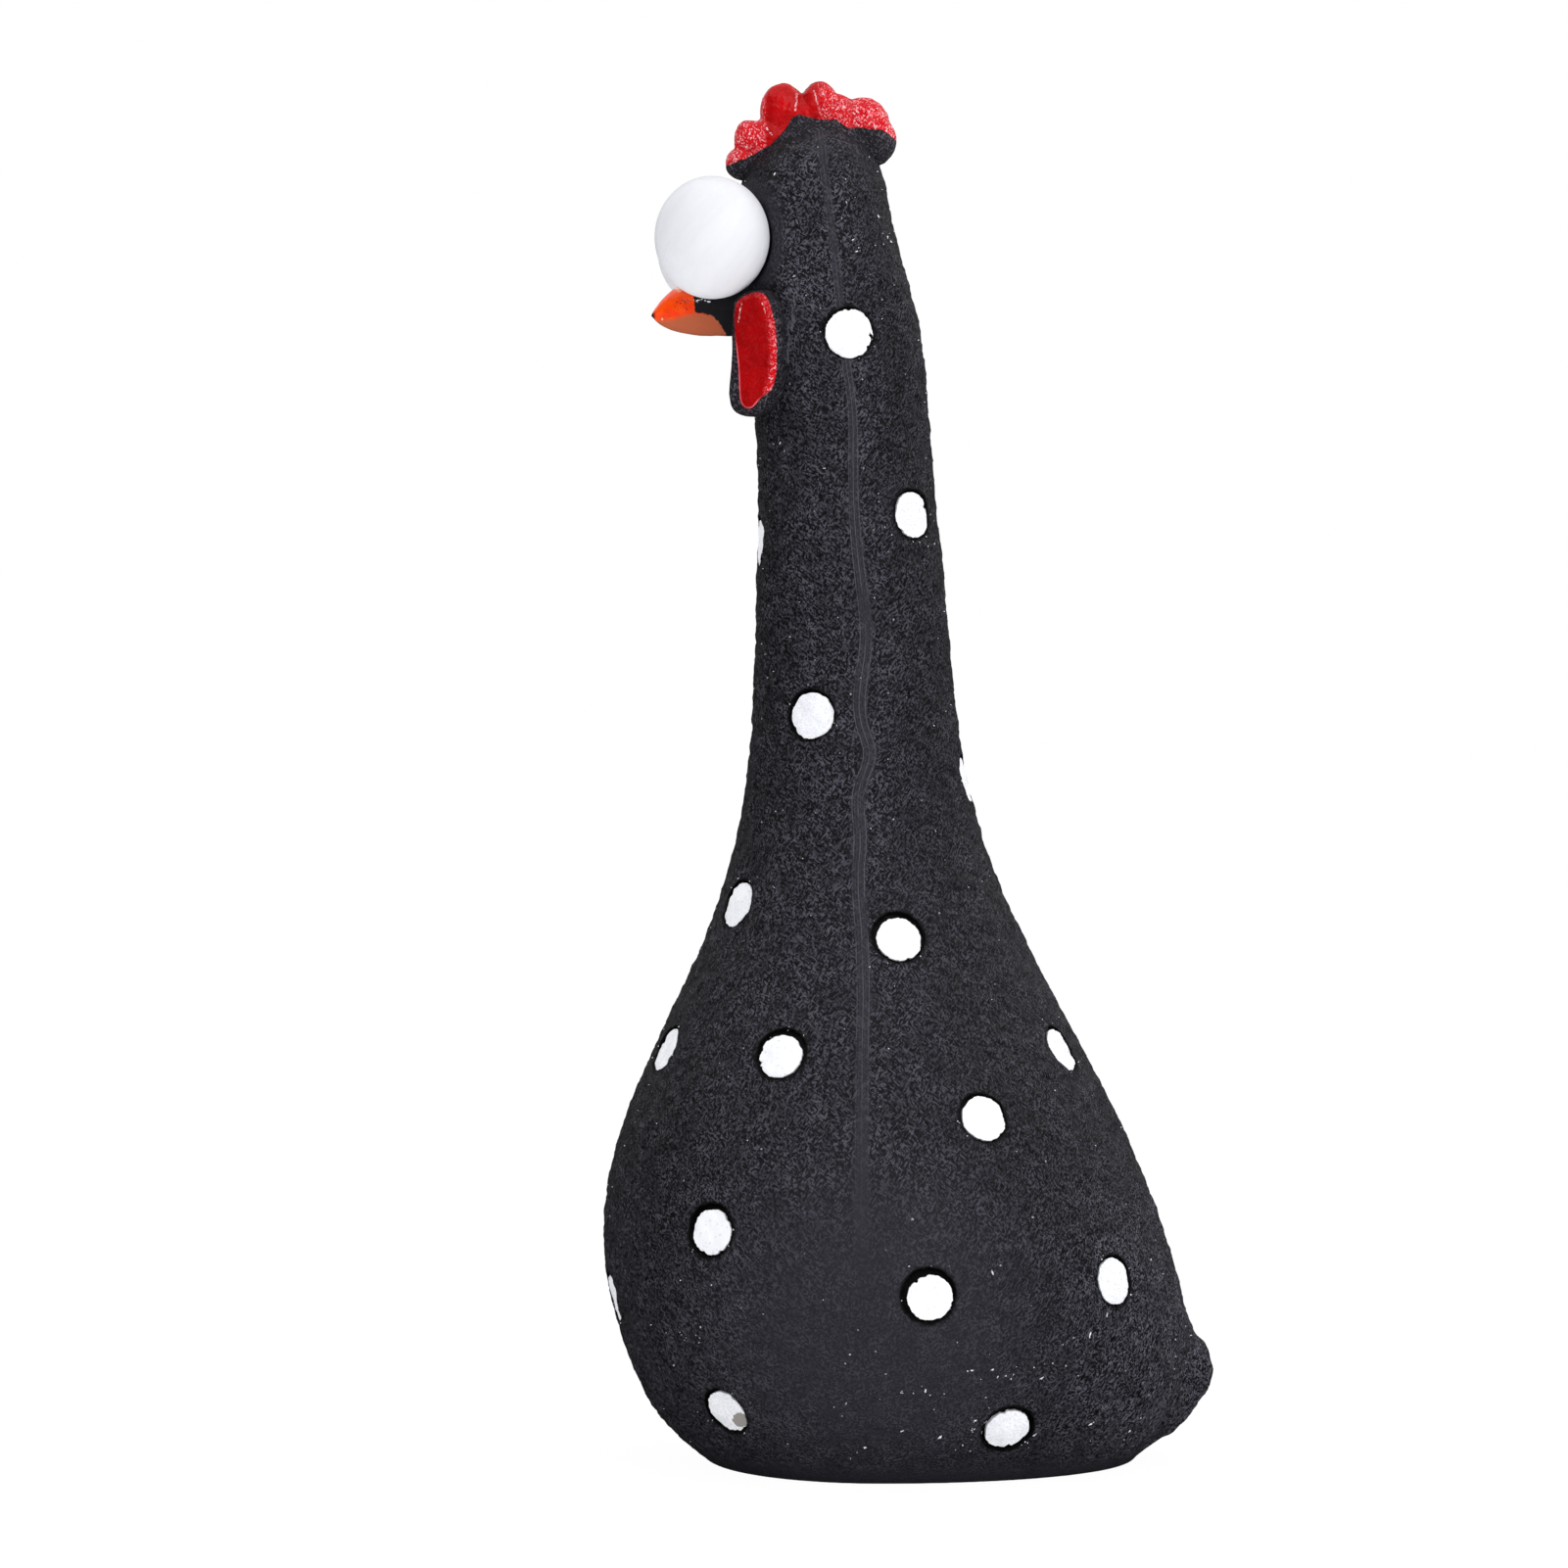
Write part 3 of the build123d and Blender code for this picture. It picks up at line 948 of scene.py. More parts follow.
@dataclass(frozen=True)
class BeakOrange:
    """Orange over the beak, with a darker, duller copy below the mouth line as painted shade, and a black tip
    and a black root.
    """

    orange: Colour = (0.86, 0.070, 0.002, 1)
    ridge: Colour = (0.80, 0.036, 0.0015, 1)
    # Painted shade: the darker, duller orange below the mouth line.
    shaded_orange: Colour = (0.41, 0.097, 0.041, 1)
    smudge: Colour = (0.036, 0.018, 0.008, 1)
    black: Colour = (0.0122, 0.0118, 0.0140, 1)
    # glare is the colour of a painted highlight.
    glare: Colour = (0.82, 0.52, 0.37, 1)

    def make(self) -> Material:
        """Build the material.

        Returns:
            The material, which reads the masks paint, lower, tip, smudge and glare.
        """
        finish = Finish("beak_orange_brushed")
        wires = finish.wires
        edge, lower = (
            finish.effect(Effects.paint_edge, Distance=wires.mask(mask), Wobble=wobble, Softness=soft)["Mask"]
            for mask, wobble, soft in (("paint", 0.9, 0.14), ("lower", 0.8, 0.8)))
        blotch = wires.noise(finish.place, 1.6, 3.0)
        colour = wires.mix(wires.spread(blotch, 0.35, 0.7), self.orange, self.ridge)
        # Painted shade below the mouth line, where the lower mask says.
        colour = wires.mix(lower, colour, self.shaded_orange)
        dirt = wires.spread(wires.noise(finish.place, 0.24, 3.0), 0.53, 0.62)
        dirt = wires.times(wires.mask("smudge"), dirt)
        colour = wires.mix(wires.times(dirt, 0.85), colour, self.smudge)
        # Painted highlight: a pale patch where the glare mask is set.
        shine = wires.spread(wires.noise(finish.place, 0.5), 0.4, 0.55)
        colour = wires.mix(wires.times(wires.mask("glare"), shine), colour, self.glare)
        specks = finish.effect(Effects.flecks, Cells=1300.0, Share=0.07, Radius=0.22)["Mask"]
        colour = wires.mix(wires.times(specks, 0.7), colour, self.glare)
        colour = wires.mix(wires.mask("tip"), colour, self.black)
        strokes = finish.effect(Effects.brushwork, Turn=(0.0, 0.0, 0.0), Stretch=(1400.0, 320.0, 1400.0))
        finish.set(Base_Color=wires.mix(edge, self.black, colour), Specular_IOR_Level=0.08)
        finish.set(Roughness=wires.blend(edge, 0.55, wires.spread(strokes["Height"], 0.4, 1.2, 0.24, 0.4)))
        finish.set(Coat_Weight=wires.times(edge, 0.28), Coat_Roughness=0.12)
        finish.bump(strokes["Height"], 0.07, 0.8)
        return finish.material


@dataclass(frozen=True)
class Station:
    """One egg-shaped slice of the casting, in depths from the seam line."""

    height: float
    front: float
    rear: float
    half_width: float


@dataclass
class Casting:
    """The two half castings: breast, back, neck, head and tail, with sockets and pockets cut in."""

    stations: tuple[Station, ...] = (
        Station(0.0, 24.7, 36.8, 27.7), Station(6.0, 31.2, 42.4, 33.6), Station(16.0, 36.2, 45.8, 38.8),
        Station(31.0, 38.9, 43.4, 41.0), Station(52.0, 34.2, 35.6, 35.0), Station(74.0, 23.4, 24.8, 24.3),
        Station(95.0, 16.4, 17.4, 17.0), Station(122.0, 13.6, 14.6, 14.2), Station(150.0, 12.6, 13.1, 12.9),
        Station(168.0, 14.3, 11.4, 12.3), Station(180.0, 14.6, 8.6, 11.4))
    seam_offset: float = -4.3
    seam_lean: float = 2.1
    crown_rise: float = 13.5
    crown_angles: tuple[float, ...] = (30.0, 55.0, 75.0)
    coat: float = 0.12
    segments: int = 96
    ring_count: int = 84
    foot_bevel: float = 0.7
    tail_reach: float = 44.4
    tail_height: float = 12.0
    tail_tip: float = 5.4
    tail_flare: float = 47.0
    tail_droop: float = 10.0
    tail_root: float = 14.0
    tail_clearance: float = 0.05
    socket_valley: float = 1.2
    glue_gap: float = 0.15
    keel: tuple[Point, ...] = ((39.1, 12.9, 5.2), (35.2, 9.2, 6.3), (30.4, 7.0, 6.6))
    keel_spread: float = 1.5
    pocket_floor: float = 3.52
    pocket_mouth: float = 3.76
    pocket_depth: float = 0.9
    pocket_unevenness: float = 0.1
    pocket_shade: float = 0.35
    wide_nodes: tuple[str, ...] = (
        "dot_left_05", "dot_left_08", "dot_left_10", "dot_left_12", "dot_left_14")
    widening: float = 1.05
    voxel: float = 0.51
    edge_passes: int = 4
    crease_passes: int = 160
    lump_size: float = 9.0
    lump_height: float = 0.32
    grain_size: float = 0.85
    grain_height: float = 0.32
    nub_size: float = 1.9
    nub_height: float = 0.16
    sharp_angle: float = 62.0
    band_half_width: float = 1.05
    band_middle: float = 0.85
    seam_taper: float = 0.6
    seam_reach: float = 9.0
    back_share: float = 0.6
    breast_turn: Pair = (-0.9, -0.4)
    back_turn: Pair = (0.3, 0.8)
    nape_turn: Pair = (0.1, 0.6)
    low_body: Pair = (24.0, 48.0)
    tail_start: Pair = (16.0, 32.0)
    tail_top: Pair = (32.0, 48.0)
    rough_edge: Pair = (0.0, 1.2)
    rough_fade: Pair = (3.0, 9.0)
    rough_neck: Pair = (88.0, 100.0)
    crease_start: Pair = (4.6, 7.0)
    crease_end: Pair = (19.0, 26.0)
    crease_foot: Pair = (0.3, 1.6)
    sandy_foot: Pair = (0.3, 1.0)
    round_foot: Pair = (0.3, 1.2)
    tip_start: Pair = (41.0, 43.2)
    # The brow's grains get more painted glints, as painted light.
    brow: Patch = Patch(-15.5, 177.0, 6.0, 14.0, (0.4, 1.2))
    belly: Patch = Patch(-6.0, 22.0, 24.0, 24.0, (0.4, 1.5))
    cheek: Patch = Patch(-17.6, 161.0, 1.9, 10.0, (0.5, 1.1))
    cheek_lean: float = 0.16
    seam_course: tuple[Pair, ...] = (
        (0.0, -8.0), (60.0, -8.0), (78.6, -8.1), (85.8, -8.4), (90.1, -8.1), (95.8, -8.35), (97.9, -8.0),
        (100.7, -7.0), (102.5, -6.75), (105.5, -7.6), (109.0, -8.2), (117.4, -7.3), (126.0, -7.8),
        (135.6, -8.65), (144.0, -8.75), (151.8, -8.9), (157.9, -9.7), (170.4, -11.0), (179.7, -12.1),
        (188.9, -13.2), (200.0, -14.4))

    def seam_y(self, height: float | Rows) -> float | Rows:
        """Where the seam plane lies at a height."""
        return self.seam_offset - height * math.tan(math.radians(self.seam_lean))

    def mouth_scale(self, node: str) -> float:
        """How much wider than usual a dot's pocket is."""
        return self.widening if node in self.wide_nodes else 1.0

    def rings(self) -> Rows:
        """Work out the rings of the outer form.

        Returns:
            One row of height, front depth, rear depth and half width for each ring.
        """
        rows = [(s.height, s.front, s.rear, s.half_width) for s in self.stations]
        brow = rows[-1]
        for angle in self.crown_angles:
            lift, draw = math.sin(math.radians(angle)), math.cos(math.radians(angle))
            rows.append((brow[0] + self.crown_rise * lift, *(size * draw for size in brow[1:])))
        knots = np.array(rows)
        steps = np.hypot(np.diff(knots[:, 0]), np.diff(knots[:, 3]))
        along = np.concatenate([[0.0], np.cumsum(steps)])
        rows = natural_spline(along, knots, np.linspace(0, along[-1], self.ring_count))
        rows[:, 1:] -= self.coat
        return rows

    def build_form(self) -> Piece:
        """Draw the outer form up from the foot, ring by ring.

        Returns:
            The closed outer form with the tail on it.
        """
        rows = self.rings()
        form = Bench.start("casting", "circle", vertices=self.segments, radius=1.0, fill_type="NGON")
        with Bench.editing(form):
            bpy.ops.transform.translate(value=metres(0, self.seam_y(0), 0))
            self.shape_ring(form, rows[0][0], np.full(3, 1 / MM), rows[0][1:])
            for below, above in zip(rows, rows[1:]):
                Bench.select_where(form, lambda co: abs(co.z - below[0] * MM) < SAME_LEVEL)
                Bench.extrude(0, self.seam_y(above[0]) - self.seam_y(below[0]), above[0] - below[0])
                self.shape_ring(form, above[0], below[1:], above[1:])
            Bench.face_outwards()
            Bench.select_where(form, lambda co: co.z < SAME_LEVEL)
            bpy.ops.mesh.bevel(offset=self.foot_bevel * MM, segments=3, affect="EDGES")
        Bench.cut(form, self.build_tail(), "UNION")
        return form

    def shape_ring(self, form: Piece, height: float, before: Rows, after: Rows) -> None:
        """Stretch the ring at a height from one set of depths to another.

        Args:
            form: The form in edit mode.
            height: The ring's height.
            before: Its front depth, rear depth and half width now.
            after: The same sizes as they should be.
        """
        front, rear, width = after / before
        pivot = _, seam, level = metres(0, self.seam_y(height), height)
        Bench.stretch(form, lambda co: abs(co.z - level) < SAME_LEVEL, (width, 1, 1), pivot)
        Bench.stretch(form, lambda co: abs(co.z - level) < SAME_LEVEL and co.y < seam, (1, front, 1), pivot)
        Bench.stretch(form, lambda co: abs(co.z - level) < SAME_LEVEL and co.y > seam, (1, rear, 1), pivot)

    def build_tail(self) -> Piece:
        """Make the blunt tail nub, cut off level with the floor.

        Returns:
            The closed nub.
        """
        flare = math.radians(self.tail_flare)
        radius = self.tail_tip - self.coat
        tangent = radius * math.cos(flare)
        start = self.tail_tip * (1 - math.sin(flare))
        length = self.tail_root - start
        tail = Bench.start(
            "tail", "cone", vertices=64, radius1=(tangent + length * math.tan(flare)) * MM,
            radius2=tangent * MM, depth=length * MM, location=metres(0, 0, -(start + length / 2)))
        tip = Bench.ball("tail_tip", metres(0, 0, -self.tail_tip), metres(radius, radius, radius), 64, 32)
        Bench.cut(tail, tip, "UNION")
        tilt = Matrix.Rotation(math.radians(-90 - self.tail_droop), 4, "X")
        Bench.place(tail, Matrix.Translation(metres(0, self.tail_reach, self.tail_height)) @ tilt)
        Bench.cut(tail, self.build_keel(), "UNION")
        with Bench.editing(tail):
            bpy.ops.mesh.bisect(plane_co=metres(0, 0, self.tail_clearance), plane_no=(0, 0, 1),
                                use_fill=True, clear_inner=True)
        return tail

    def build_keel(self) -> Piece:
        """Make the swelling that carries the tail down to the foot.

        Returns:
            The closed swelling, wrapped round a row of balls.
        """
        balls = []
        for y, z, radius in self.keel:
            spread = self.keel_spread if balls else 1.0
            balls.append(Bench.ball("keel", metres(0, y, z), metres(radius * spread, radius, radius), 40, 24))
        keel = Bench.join("keel", balls)
        with Bench.editing(keel):
            bpy.ops.mesh.convex_hull()
        return keel

    def build_sockets(self) -> Piece:
        """Make the cutters for the two eye sockets.

        Returns:
            The joined cutters.
        """
        tools = []
        for node in ("eye_left", "eye_right"):
            low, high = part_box(node)
            centre, radii = (low + high) / 2, (high - low) / 2
            outward = Vector((centre.x, centre.y - self.seam_y(centre.z / MM) * MM, 0)).normalized()
            centre += outward * (self.socket_valley - self.glue_gap) * MM
            radii += Vector((1, 1, 1)) * self.socket_valley * MM
            tools.append(Bench.ball("socket", centre, radii, 64, 40))
        Bench.cut(*tools, "UNION")
        return tools[0]

    def build_recess(self) -> Piece:
        """Make the cutter for the recess that holds the base plate.

        Returns:
            The closed cutter, a little larger than the plate all round.
        """
        low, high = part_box("base_plate")
        gap, seam = metres(self.glue_gap, self.seam_y(0))
        tool = Bench.start("recess", "cylinder", vertices=96, radius=1.0, depth=1.0)
        with Bench.editing(tool):
            bpy.ops.transform.resize(value=(high.x + gap, 1, 2 * (high.z + gap)))
            Bench.stretch(tool, lambda co: co.y < 0, (1, seam - low.y + gap, 1), (0, 0, 0))
            Bench.stretch(tool, lambda co: co.y > 0, (1, high.y - seam + gap, 1), (0, 0, 0))
            bpy.ops.mesh.select_all(action="SELECT")
            bpy.ops.transform.translate(value=(0, seam, 0))
        return tool

    def build_pockets(self, dots: dict[str, Matrix]) -> Piece:
        """Make the cutters for the dots' pockets, each a little out of round.

        Args:
            dots: The place of each dot's floor, with its normal along Z.

        Returns:
            The joined cutters.
        """
        tools = []
        rim = self.pocket_floor + 4 * (self.pocket_mouth - self.pocket_floor)
        for number, (node, place) in enumerate(dots.items()):
            tool = Bench.start(
                "pocket", "cone", vertices=44, radius1=self.pocket_floor * MM, radius2=rim * MM,
                depth=4 * self.pocket_depth * MM, location=metres(0, 0, 2 * self.pocket_depth))
            with Bench.editing(tool):
                bpy.ops.transform.vertex_random(
                    offset=self.pocket_unevenness * MM, uniform=1.0, normal=0.0, seed=number)
            wide = self.mouth_scale(node)
            Bench.place(tool, place @ Matrix.Diagonal((wide, wide, 1, 1)))
            tools.append(tool)
        return Bench.join("pockets", tools)

    def seam_offset_of(self, spots: Rows) -> Rows:
        """Measure how far places lie behind the foremost line of the dressed seam.

        Args:
            spots: One row of x, y and z for each place.

        Returns:
            Distances towards the tail, in millimetres below the neck and stretched above it, where the
            seam narrows.
        """
        heights, lines = np.array(self.seam_course).T
        behind = spots[:, 1] - natural_spline(heights, lines[:, None], spots[:, 2])[:, 0]
        return behind * (1 + self.seam_taper * ease(112.0, 165.0, spots[:, 2]))

    def facing(self, spots: Rows) -> Rows:
        """Say which way the skin faces at each place, from -1, ahead, to 1, back."""
        depth = spots[:, 1] - self.seam_y(spots[:, 2])
        return depth / np.maximum(np.hypot(spots[:, 0], depth), 1e-6)

    def turned_away(self, spots: Rows) -> Rows:
        """Say how far the skin turns from the flank to the breast or the back.

        Args:
            spots: One row of x, y and z for each place.

        Returns:
            Weights from 0 to 1, higher on the breast than on the back, and 0 low on the body; they weigh
            painted shade on the black and extra painted glints.
        """
        facing = self.facing(spots)
        turned = 1 - ease(*self.breast_turn, facing) + self.back_share * ease(*self.back_turn, facing)
        return turned * ease(*self.low_body, spots[:, 2])

    def glintiness(self, spots: Rows) -> Rows:
        """Say how much painted light the grains get at each place, as painted glints.

        Args:
            spots: One row of x, y and z for each place.

        Returns:
            Weights from 0 to 1, high on the flank, the brow and the tail, where the light is painted on.
        """
        height, facing = spots[:, 2], self.facing(spots)
        behind = self.seam_offset_of(spots) - 2 * self.band_middle
        rough = ease(*self.rough_edge, behind) * (1 - ease(*self.rough_fade, behind))
        rough = rough * ease(*self.rough_neck, height)
        tail = ease(*self.tail_start, spots[:, 1]) * (1 - ease(*self.tail_top, height))
        side = ease(*self.breast_turn, facing) * (1 - 0.8 * ease(*self.nape_turn, facing))
        low = 0.22 * ease(*self.low_body, height) - 0.34 * self.turned_away(spots)
        brow = self.brow.show(spots[:, 1], height)
        # Painted light: more painted glints on the flank, the brow, the tail and low on the body.
        return np.clip(0.42 - low + 0.42 * side + 0.12 * rough + 0.5 * tail + 0.42 * brow, 0, 1)

    def sandiness(self, spots: Rows) -> Rows:
        """Say how sandy the paint is at each place.

        Args:
            spots: One row of x, y and z for each place.

        Returns:
            Weights from 0, smooth, to 1, sandy.
        """
        height = spots[:, 2]
        offset = np.abs(self.seam_offset_of(spots) - self.band_middle)
        band = ease(self.band_half_width * 0.5, self.band_half_width * 1.4, offset)
        band = 1 - 0.55 * (1 - band) * ease(20.0, 52.0, height)
        low, high = np.array(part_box("eye_left")) / MM
        folded = np.column_stack([np.abs(spots[:, 0]), spots[:, 1:]])
        reach = np.linalg.norm((folded - (low + high) / 2) / ((high - low) / 2), axis=1)
        face = 0.45 + 0.55 * ease(1.12, 1.5, reach)
        belly = 1 - 0.55 * self.belly.show(spots[:, 1], height)
        foot = 0.3 + 0.7 * ease(0.4, 4.0, height)
        return band * face * belly * foot

    def smooth_form(self, form: Piece) -> None:
        """Fuse the form, soften its edges and the crease round the tail, and raise sand and slow lumps.

        Args:
            form: The form with its sockets and its recess.
        """
        Bench.fuse(form, self.voxel)
        spots = Bench.corners(form)
        height = spots[:, 2]
        reach = np.linalg.norm(spots - [0, self.tail_reach - self.tail_tip, self.tail_height], axis=1)
        crease = ease(*self.crease_start, reach) * (1 - ease(*self.crease_end, reach))
        crease = crease * ease(*self.crease_foot, height)
        Bench.weigh(form, "sandy", self.sandiness(spots) * ease(*self.sandy_foot, height))
        Bench.weigh(form, "round_off", ease(*self.round_foot, height))
        Bench.weigh(form, "crease", crease * (1 - ease(*self.tip_start, spots[:, 1])))
        Bench.smooth(form, self.edge_passes, "round_off")
        Bench.smooth(form, self.crease_passes, "crease")
        Bench.lump(form, self.lump_size, self.lump_height, 0.55, "sandy")
        Bench.lump(form, self.grain_size, self.grain_height, 0.66, "sandy", noise_depth=1)
        Bench.lump(form, self.nub_size, self.nub_height, 0.3, "sandy", noise_depth=0, contrast=2.6,
                   intensity=0.62)

    def build(self, dots: dict[str, Matrix]) -> tuple[dict[str, Piece], Piece]:
        """Build the whole casting and saw it along the seam.

        Args:
            dots: The place of each dot's floor.

        Returns:
            The front and rear half by the name of the node that each stands for, and the form without
            pockets.
        """
        form = self.build_form()
        Bench.cut(form, self.build_sockets())
        Bench.cut(form, self.build_recess())
        self.smooth_form(form)
        skin = Bench.copy(form, "skin")
        Bench.cut(form, self.build_pockets(dots))
        lean = math.radians(self.seam_lean)
        plane = {"plane_co": metres(0, self.seam_offset, 0), "plane_no": (0, math.cos(lean), math.sin(lean))}
        halves = {}
        for node, keep in (("front_shell", {"clear_outer": True}), ("rear_shell", {"clear_inner": True})):
            half = Bench.copy(form, node.replace("shell", "casting"))
            with Bench.editing(half):
                bpy.ops.mesh.bisect(use_fill=True, **plane, **keep)
            half.vertex_groups.clear()
            Bench.soften(half, self.sharp_angle)
            halves[node] = half
        bpy.data.objects.remove(form)
        return halves, skin

    def dress(self, halves: dict[str, Piece], dots: dict[str, Matrix], material: Material) -> None:
        """Write the masks that the paint reads, and set both halves on the frame.

        Args:
            halves: The front and rear half by node.
            dots: The place of each dot's floor.
            material: The sandy paint.
        """
        for node, half in halves.items():
            spots = Bench.corners(half)
            nearest = np.min([np.linalg.norm(spots - np.array(place.translation) / MM, axis=1)
                              / self.mouth_scale(dot) for dot, place in dots.items()], axis=0)
            leaning = spots[:, 1] - self.cheek_lean * (spots[:, 2] - self.cheek.z)
            # glinty weighs painted glints; shaded and pocket weigh painted shade on the breast, the back and
            # round the pockets.
            Bench.mask(
                half, sandy=self.sandiness(spots), glinty=self.glintiness(spots),
                shaded=self.turned_away(spots), tooled=self.cheek.show(leaning, spots[:, 2]),
                seam=np.clip(self.seam_offset_of(spots), -self.seam_reach, self.seam_reach),
                pocket=1 - ease(self.pocket_mouth, self.pocket_mouth + self.pocket_shade, nearest))
            Bench.dress(half, material)
            Bench.mount(half, "body_black", node)


@dataclass(frozen=True)
class Fit:
    """How a fill sits in its pocket: its size and how far it settled from the middle."""

    size: float = 1.0
    settle: Point = (0.0, 0.12, -0.10)


@dataclass
class Dots:
    """White enamel fills, brushed by hand into the pockets."""

    segments: int = 84
    radius: float = 3.27
    thickness: float = 0.42
    insets: tuple[float, ...] = (0.06, 0.13, 0.2, 0.2, 0.2, 0.2)
    fits: dict[str, Fit] = field(default_factory=lambda: {
        "dot_left_01": Fit(1.05), "dot_left_05": Fit(0.98, (0.0, 0.10, -0.26)),
        "dot_left_08": Fit(0.98, (0.0, -0.12, -0.36)), "dot_left_10": Fit(0.97, (0.0, 0.12, -0.22)),
        "dot_left_12": Fit(0.96, (0.0, 0.30, -0.28)), "dot_left_14": Fit(0.99, (0.0, -0.05, -0.12))})
    sink: float = 0.04
    probe: float = 8.0
    ragged: float = 0.12
    out_of_round: float = 0.14
    ripple: float = 0.05
    nick_width: float = 0.3
    drip: Point = (-88.0, 0.5, 0.9)
    dripping_node: str = "dot_left_01"
    chipped_node: str = "dot_left_13"
    chip: Patch = Patch(1.9, -1.0, fade=(0.7, 1.5))
    mottled: dict[str, float] = field(default_factory=lambda: {
        "02": 1.0, "03": 0.6, "04": 0.3, "06": 0.3, "07": 1.0, "11": 1.0, "13": 0.6, "14": 0.6})
    lightly_mottled: float = 0.1
    sharp_angle: float = 50.0

    @staticmethod
    def places(axis_y: float = -7.0) -> dict[str, Matrix]:
        """Find where the solids of the dots lie.

        Args:
            axis_y: Where the body's upright axis lies.

        Returns:
            For each node, the middle of the pocket's floor with Z pointing out of the body.
        """
        found = {}
        for name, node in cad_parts.items():
            if name.startswith("dot_"):
                spots = Bench.corners(node)
                middle = (spots.min(axis=0) + spots.max(axis=0)) / 2
                outward = Vector(np.linalg.svd(spots - spots.mean(axis=0), full_matrices=False)[2][2])
                if outward.dot(Vector((middle[0], middle[1] - axis_y, 0))) < 0:
                    outward.negate()
                lift = (spots - middle) @ np.array(outward)
                floor = Vector(middle * MM) + outward * float(lift.min()) * MM
                turn = outward.to_track_quat("Z", "Y").to_matrix().to_4x4()
                found[name] = Matrix.Translation(floor) @ turn
        return found

    def build_master(self) -> Piece:
        """Model one round fill with a soft rim and a slight crown.

        Returns:
            The fill, lying on the floor at the origin.
        """
        fill = Bench.start("dot", "circle", vertices=self.segments, radius=self.radius * MM, fill_type="NGON")
        with Bench.editing(fill):
            Bench.extrude(0, 0, self.thickness * 0.6)
            for share in self.insets:
                bpy.ops.mesh.inset(thickness=self.radius * share * MM, depth=self.thickness * 0.07 * MM)
            Bench.face_outwards()
        return fill

    def build(self, places: dict[str, Matrix], skin: Piece, material: Material) -> None:
        """Copy the fill into every pocket, each with its own ragged rim.

        Args:
            places: Where each dot goes, by node.
            skin: The casting's form without pockets, which the fills are flush with.
            material: The white enamel.
        """
        master = self.build_master()
        for number, (node, place) in enumerate(places.items()):
            fill = Bench.copy(master, node.replace("dot_", "enamel_dot_"))
            self.fray(fill, number, node == self.dripping_node)
            outward = place.col[2].to_3d()
            fit = self.fits.get(node, Fit())
            sunk = Vector(fit.settle) - outward * outward.dot(Vector(fit.settle))
            seat = Matrix.Translation(sunk * MM) @ place @ Matrix.Diagonal((fit.size, fit.size, 1, 1))
            self.crown(fill, seat, skin)
            Bench.place(fill, seat)
            Bench.soften(fill, self.sharp_angle)
            _, across, up = (Bench.corners(fill) - Bench.corners(fill).mean(axis=0)).T
            chipped = self.chip.show(across, up) if node == self.chipped_node else 0.0
            Bench.mask(fill, chipped=chipped, mottled=self.mottled.get(node[-2:], self.lightly_mottled))
            Bench.dress(fill, material)
            Bench.mount(fill, "dot_white", node)
        bpy.data.objects.remove(master)
        bpy.data.objects.remove(skin)

    def crown(self, fill: Piece, seat: Matrix, skin: Piece) -> None:
        """Bring a fill's face up to the casting's skin.

        Args:
            fill: One copy of the fill, at the origin.
            seat: Where the fill goes.
            skin: The casting's form without pockets.
        """
        spots = Bench.corners(fill)
        outward = seat.col[2].to_3d().normalized()
        top = spots[:, 2].max()
        for row, (across, up, rise) in enumerate(spots):
            if rise > 0:
                start = seat @ (Vector((across, up, self.probe)) * MM)
                gap = (start - skin.ray_cast(start, -outward)[1]).length / MM
                spots[row, 2] = max(self.probe - gap + rise - top - self.sink, 0.2 * rise)
        Bench.move_corners(fill, spots)

    def fray(self, fill: Piece, number: int, dripping: bool) -> None:
        """Make a fill's rim ragged and its face uneven.

        Args:
            fill: One copy of the fill, at the origin.
            number: Which dot it is, so that each differs.
            dripping: Whether the enamel ran over the pocket's lower edge.
        """
        draw = random.Random(number)
        bumps = [(draw.uniform(-math.pi, math.pi), -draw.uniform(0.1, 0.4), self.nick_width)
                 for _ in range(draw.randint(1, 4))]
        if dripping:
            bumps.append((math.radians(self.drip[0]), *self.drip[1:]))
        spots = Bench.corners(fill)
        away = np.hypot(spots[:, 0], spots[:, 1])
        bearing = np.arctan2(spots[:, 1], spots[:, 0])
        rim = ease(0.55, 1.0, away / self.radius)
        for row, (far, angle) in enumerate(zip(away, bearing)):
            if far < 1e-6:
                continue
            round_trip = Vector((math.cos(angle), math.sin(angle), number * 3.7))
            reach = self.out_of_round * noise.noise(round_trip * 1.3)
            for pitch in (5.5, 11.0):
                reach += self.ragged * noise.noise(round_trip * pitch + Vector((9, 4, 2)))
            for middle, height, width in bumps:
                turn = math.remainder(angle - middle, math.tau) * self.radius
                reach += height * math.exp(-((turn / width) ** 2))
            spots[row, :2] *= 1 + reach / self.radius * rim[row]
            if spots[row, 2] > 0:
                across, up = spots[row, :2] * 0.9
                spots[row, 2] += self.ripple * noise.noise(Vector((across, up, number)))
        Bench.move_corners(fill, spots)


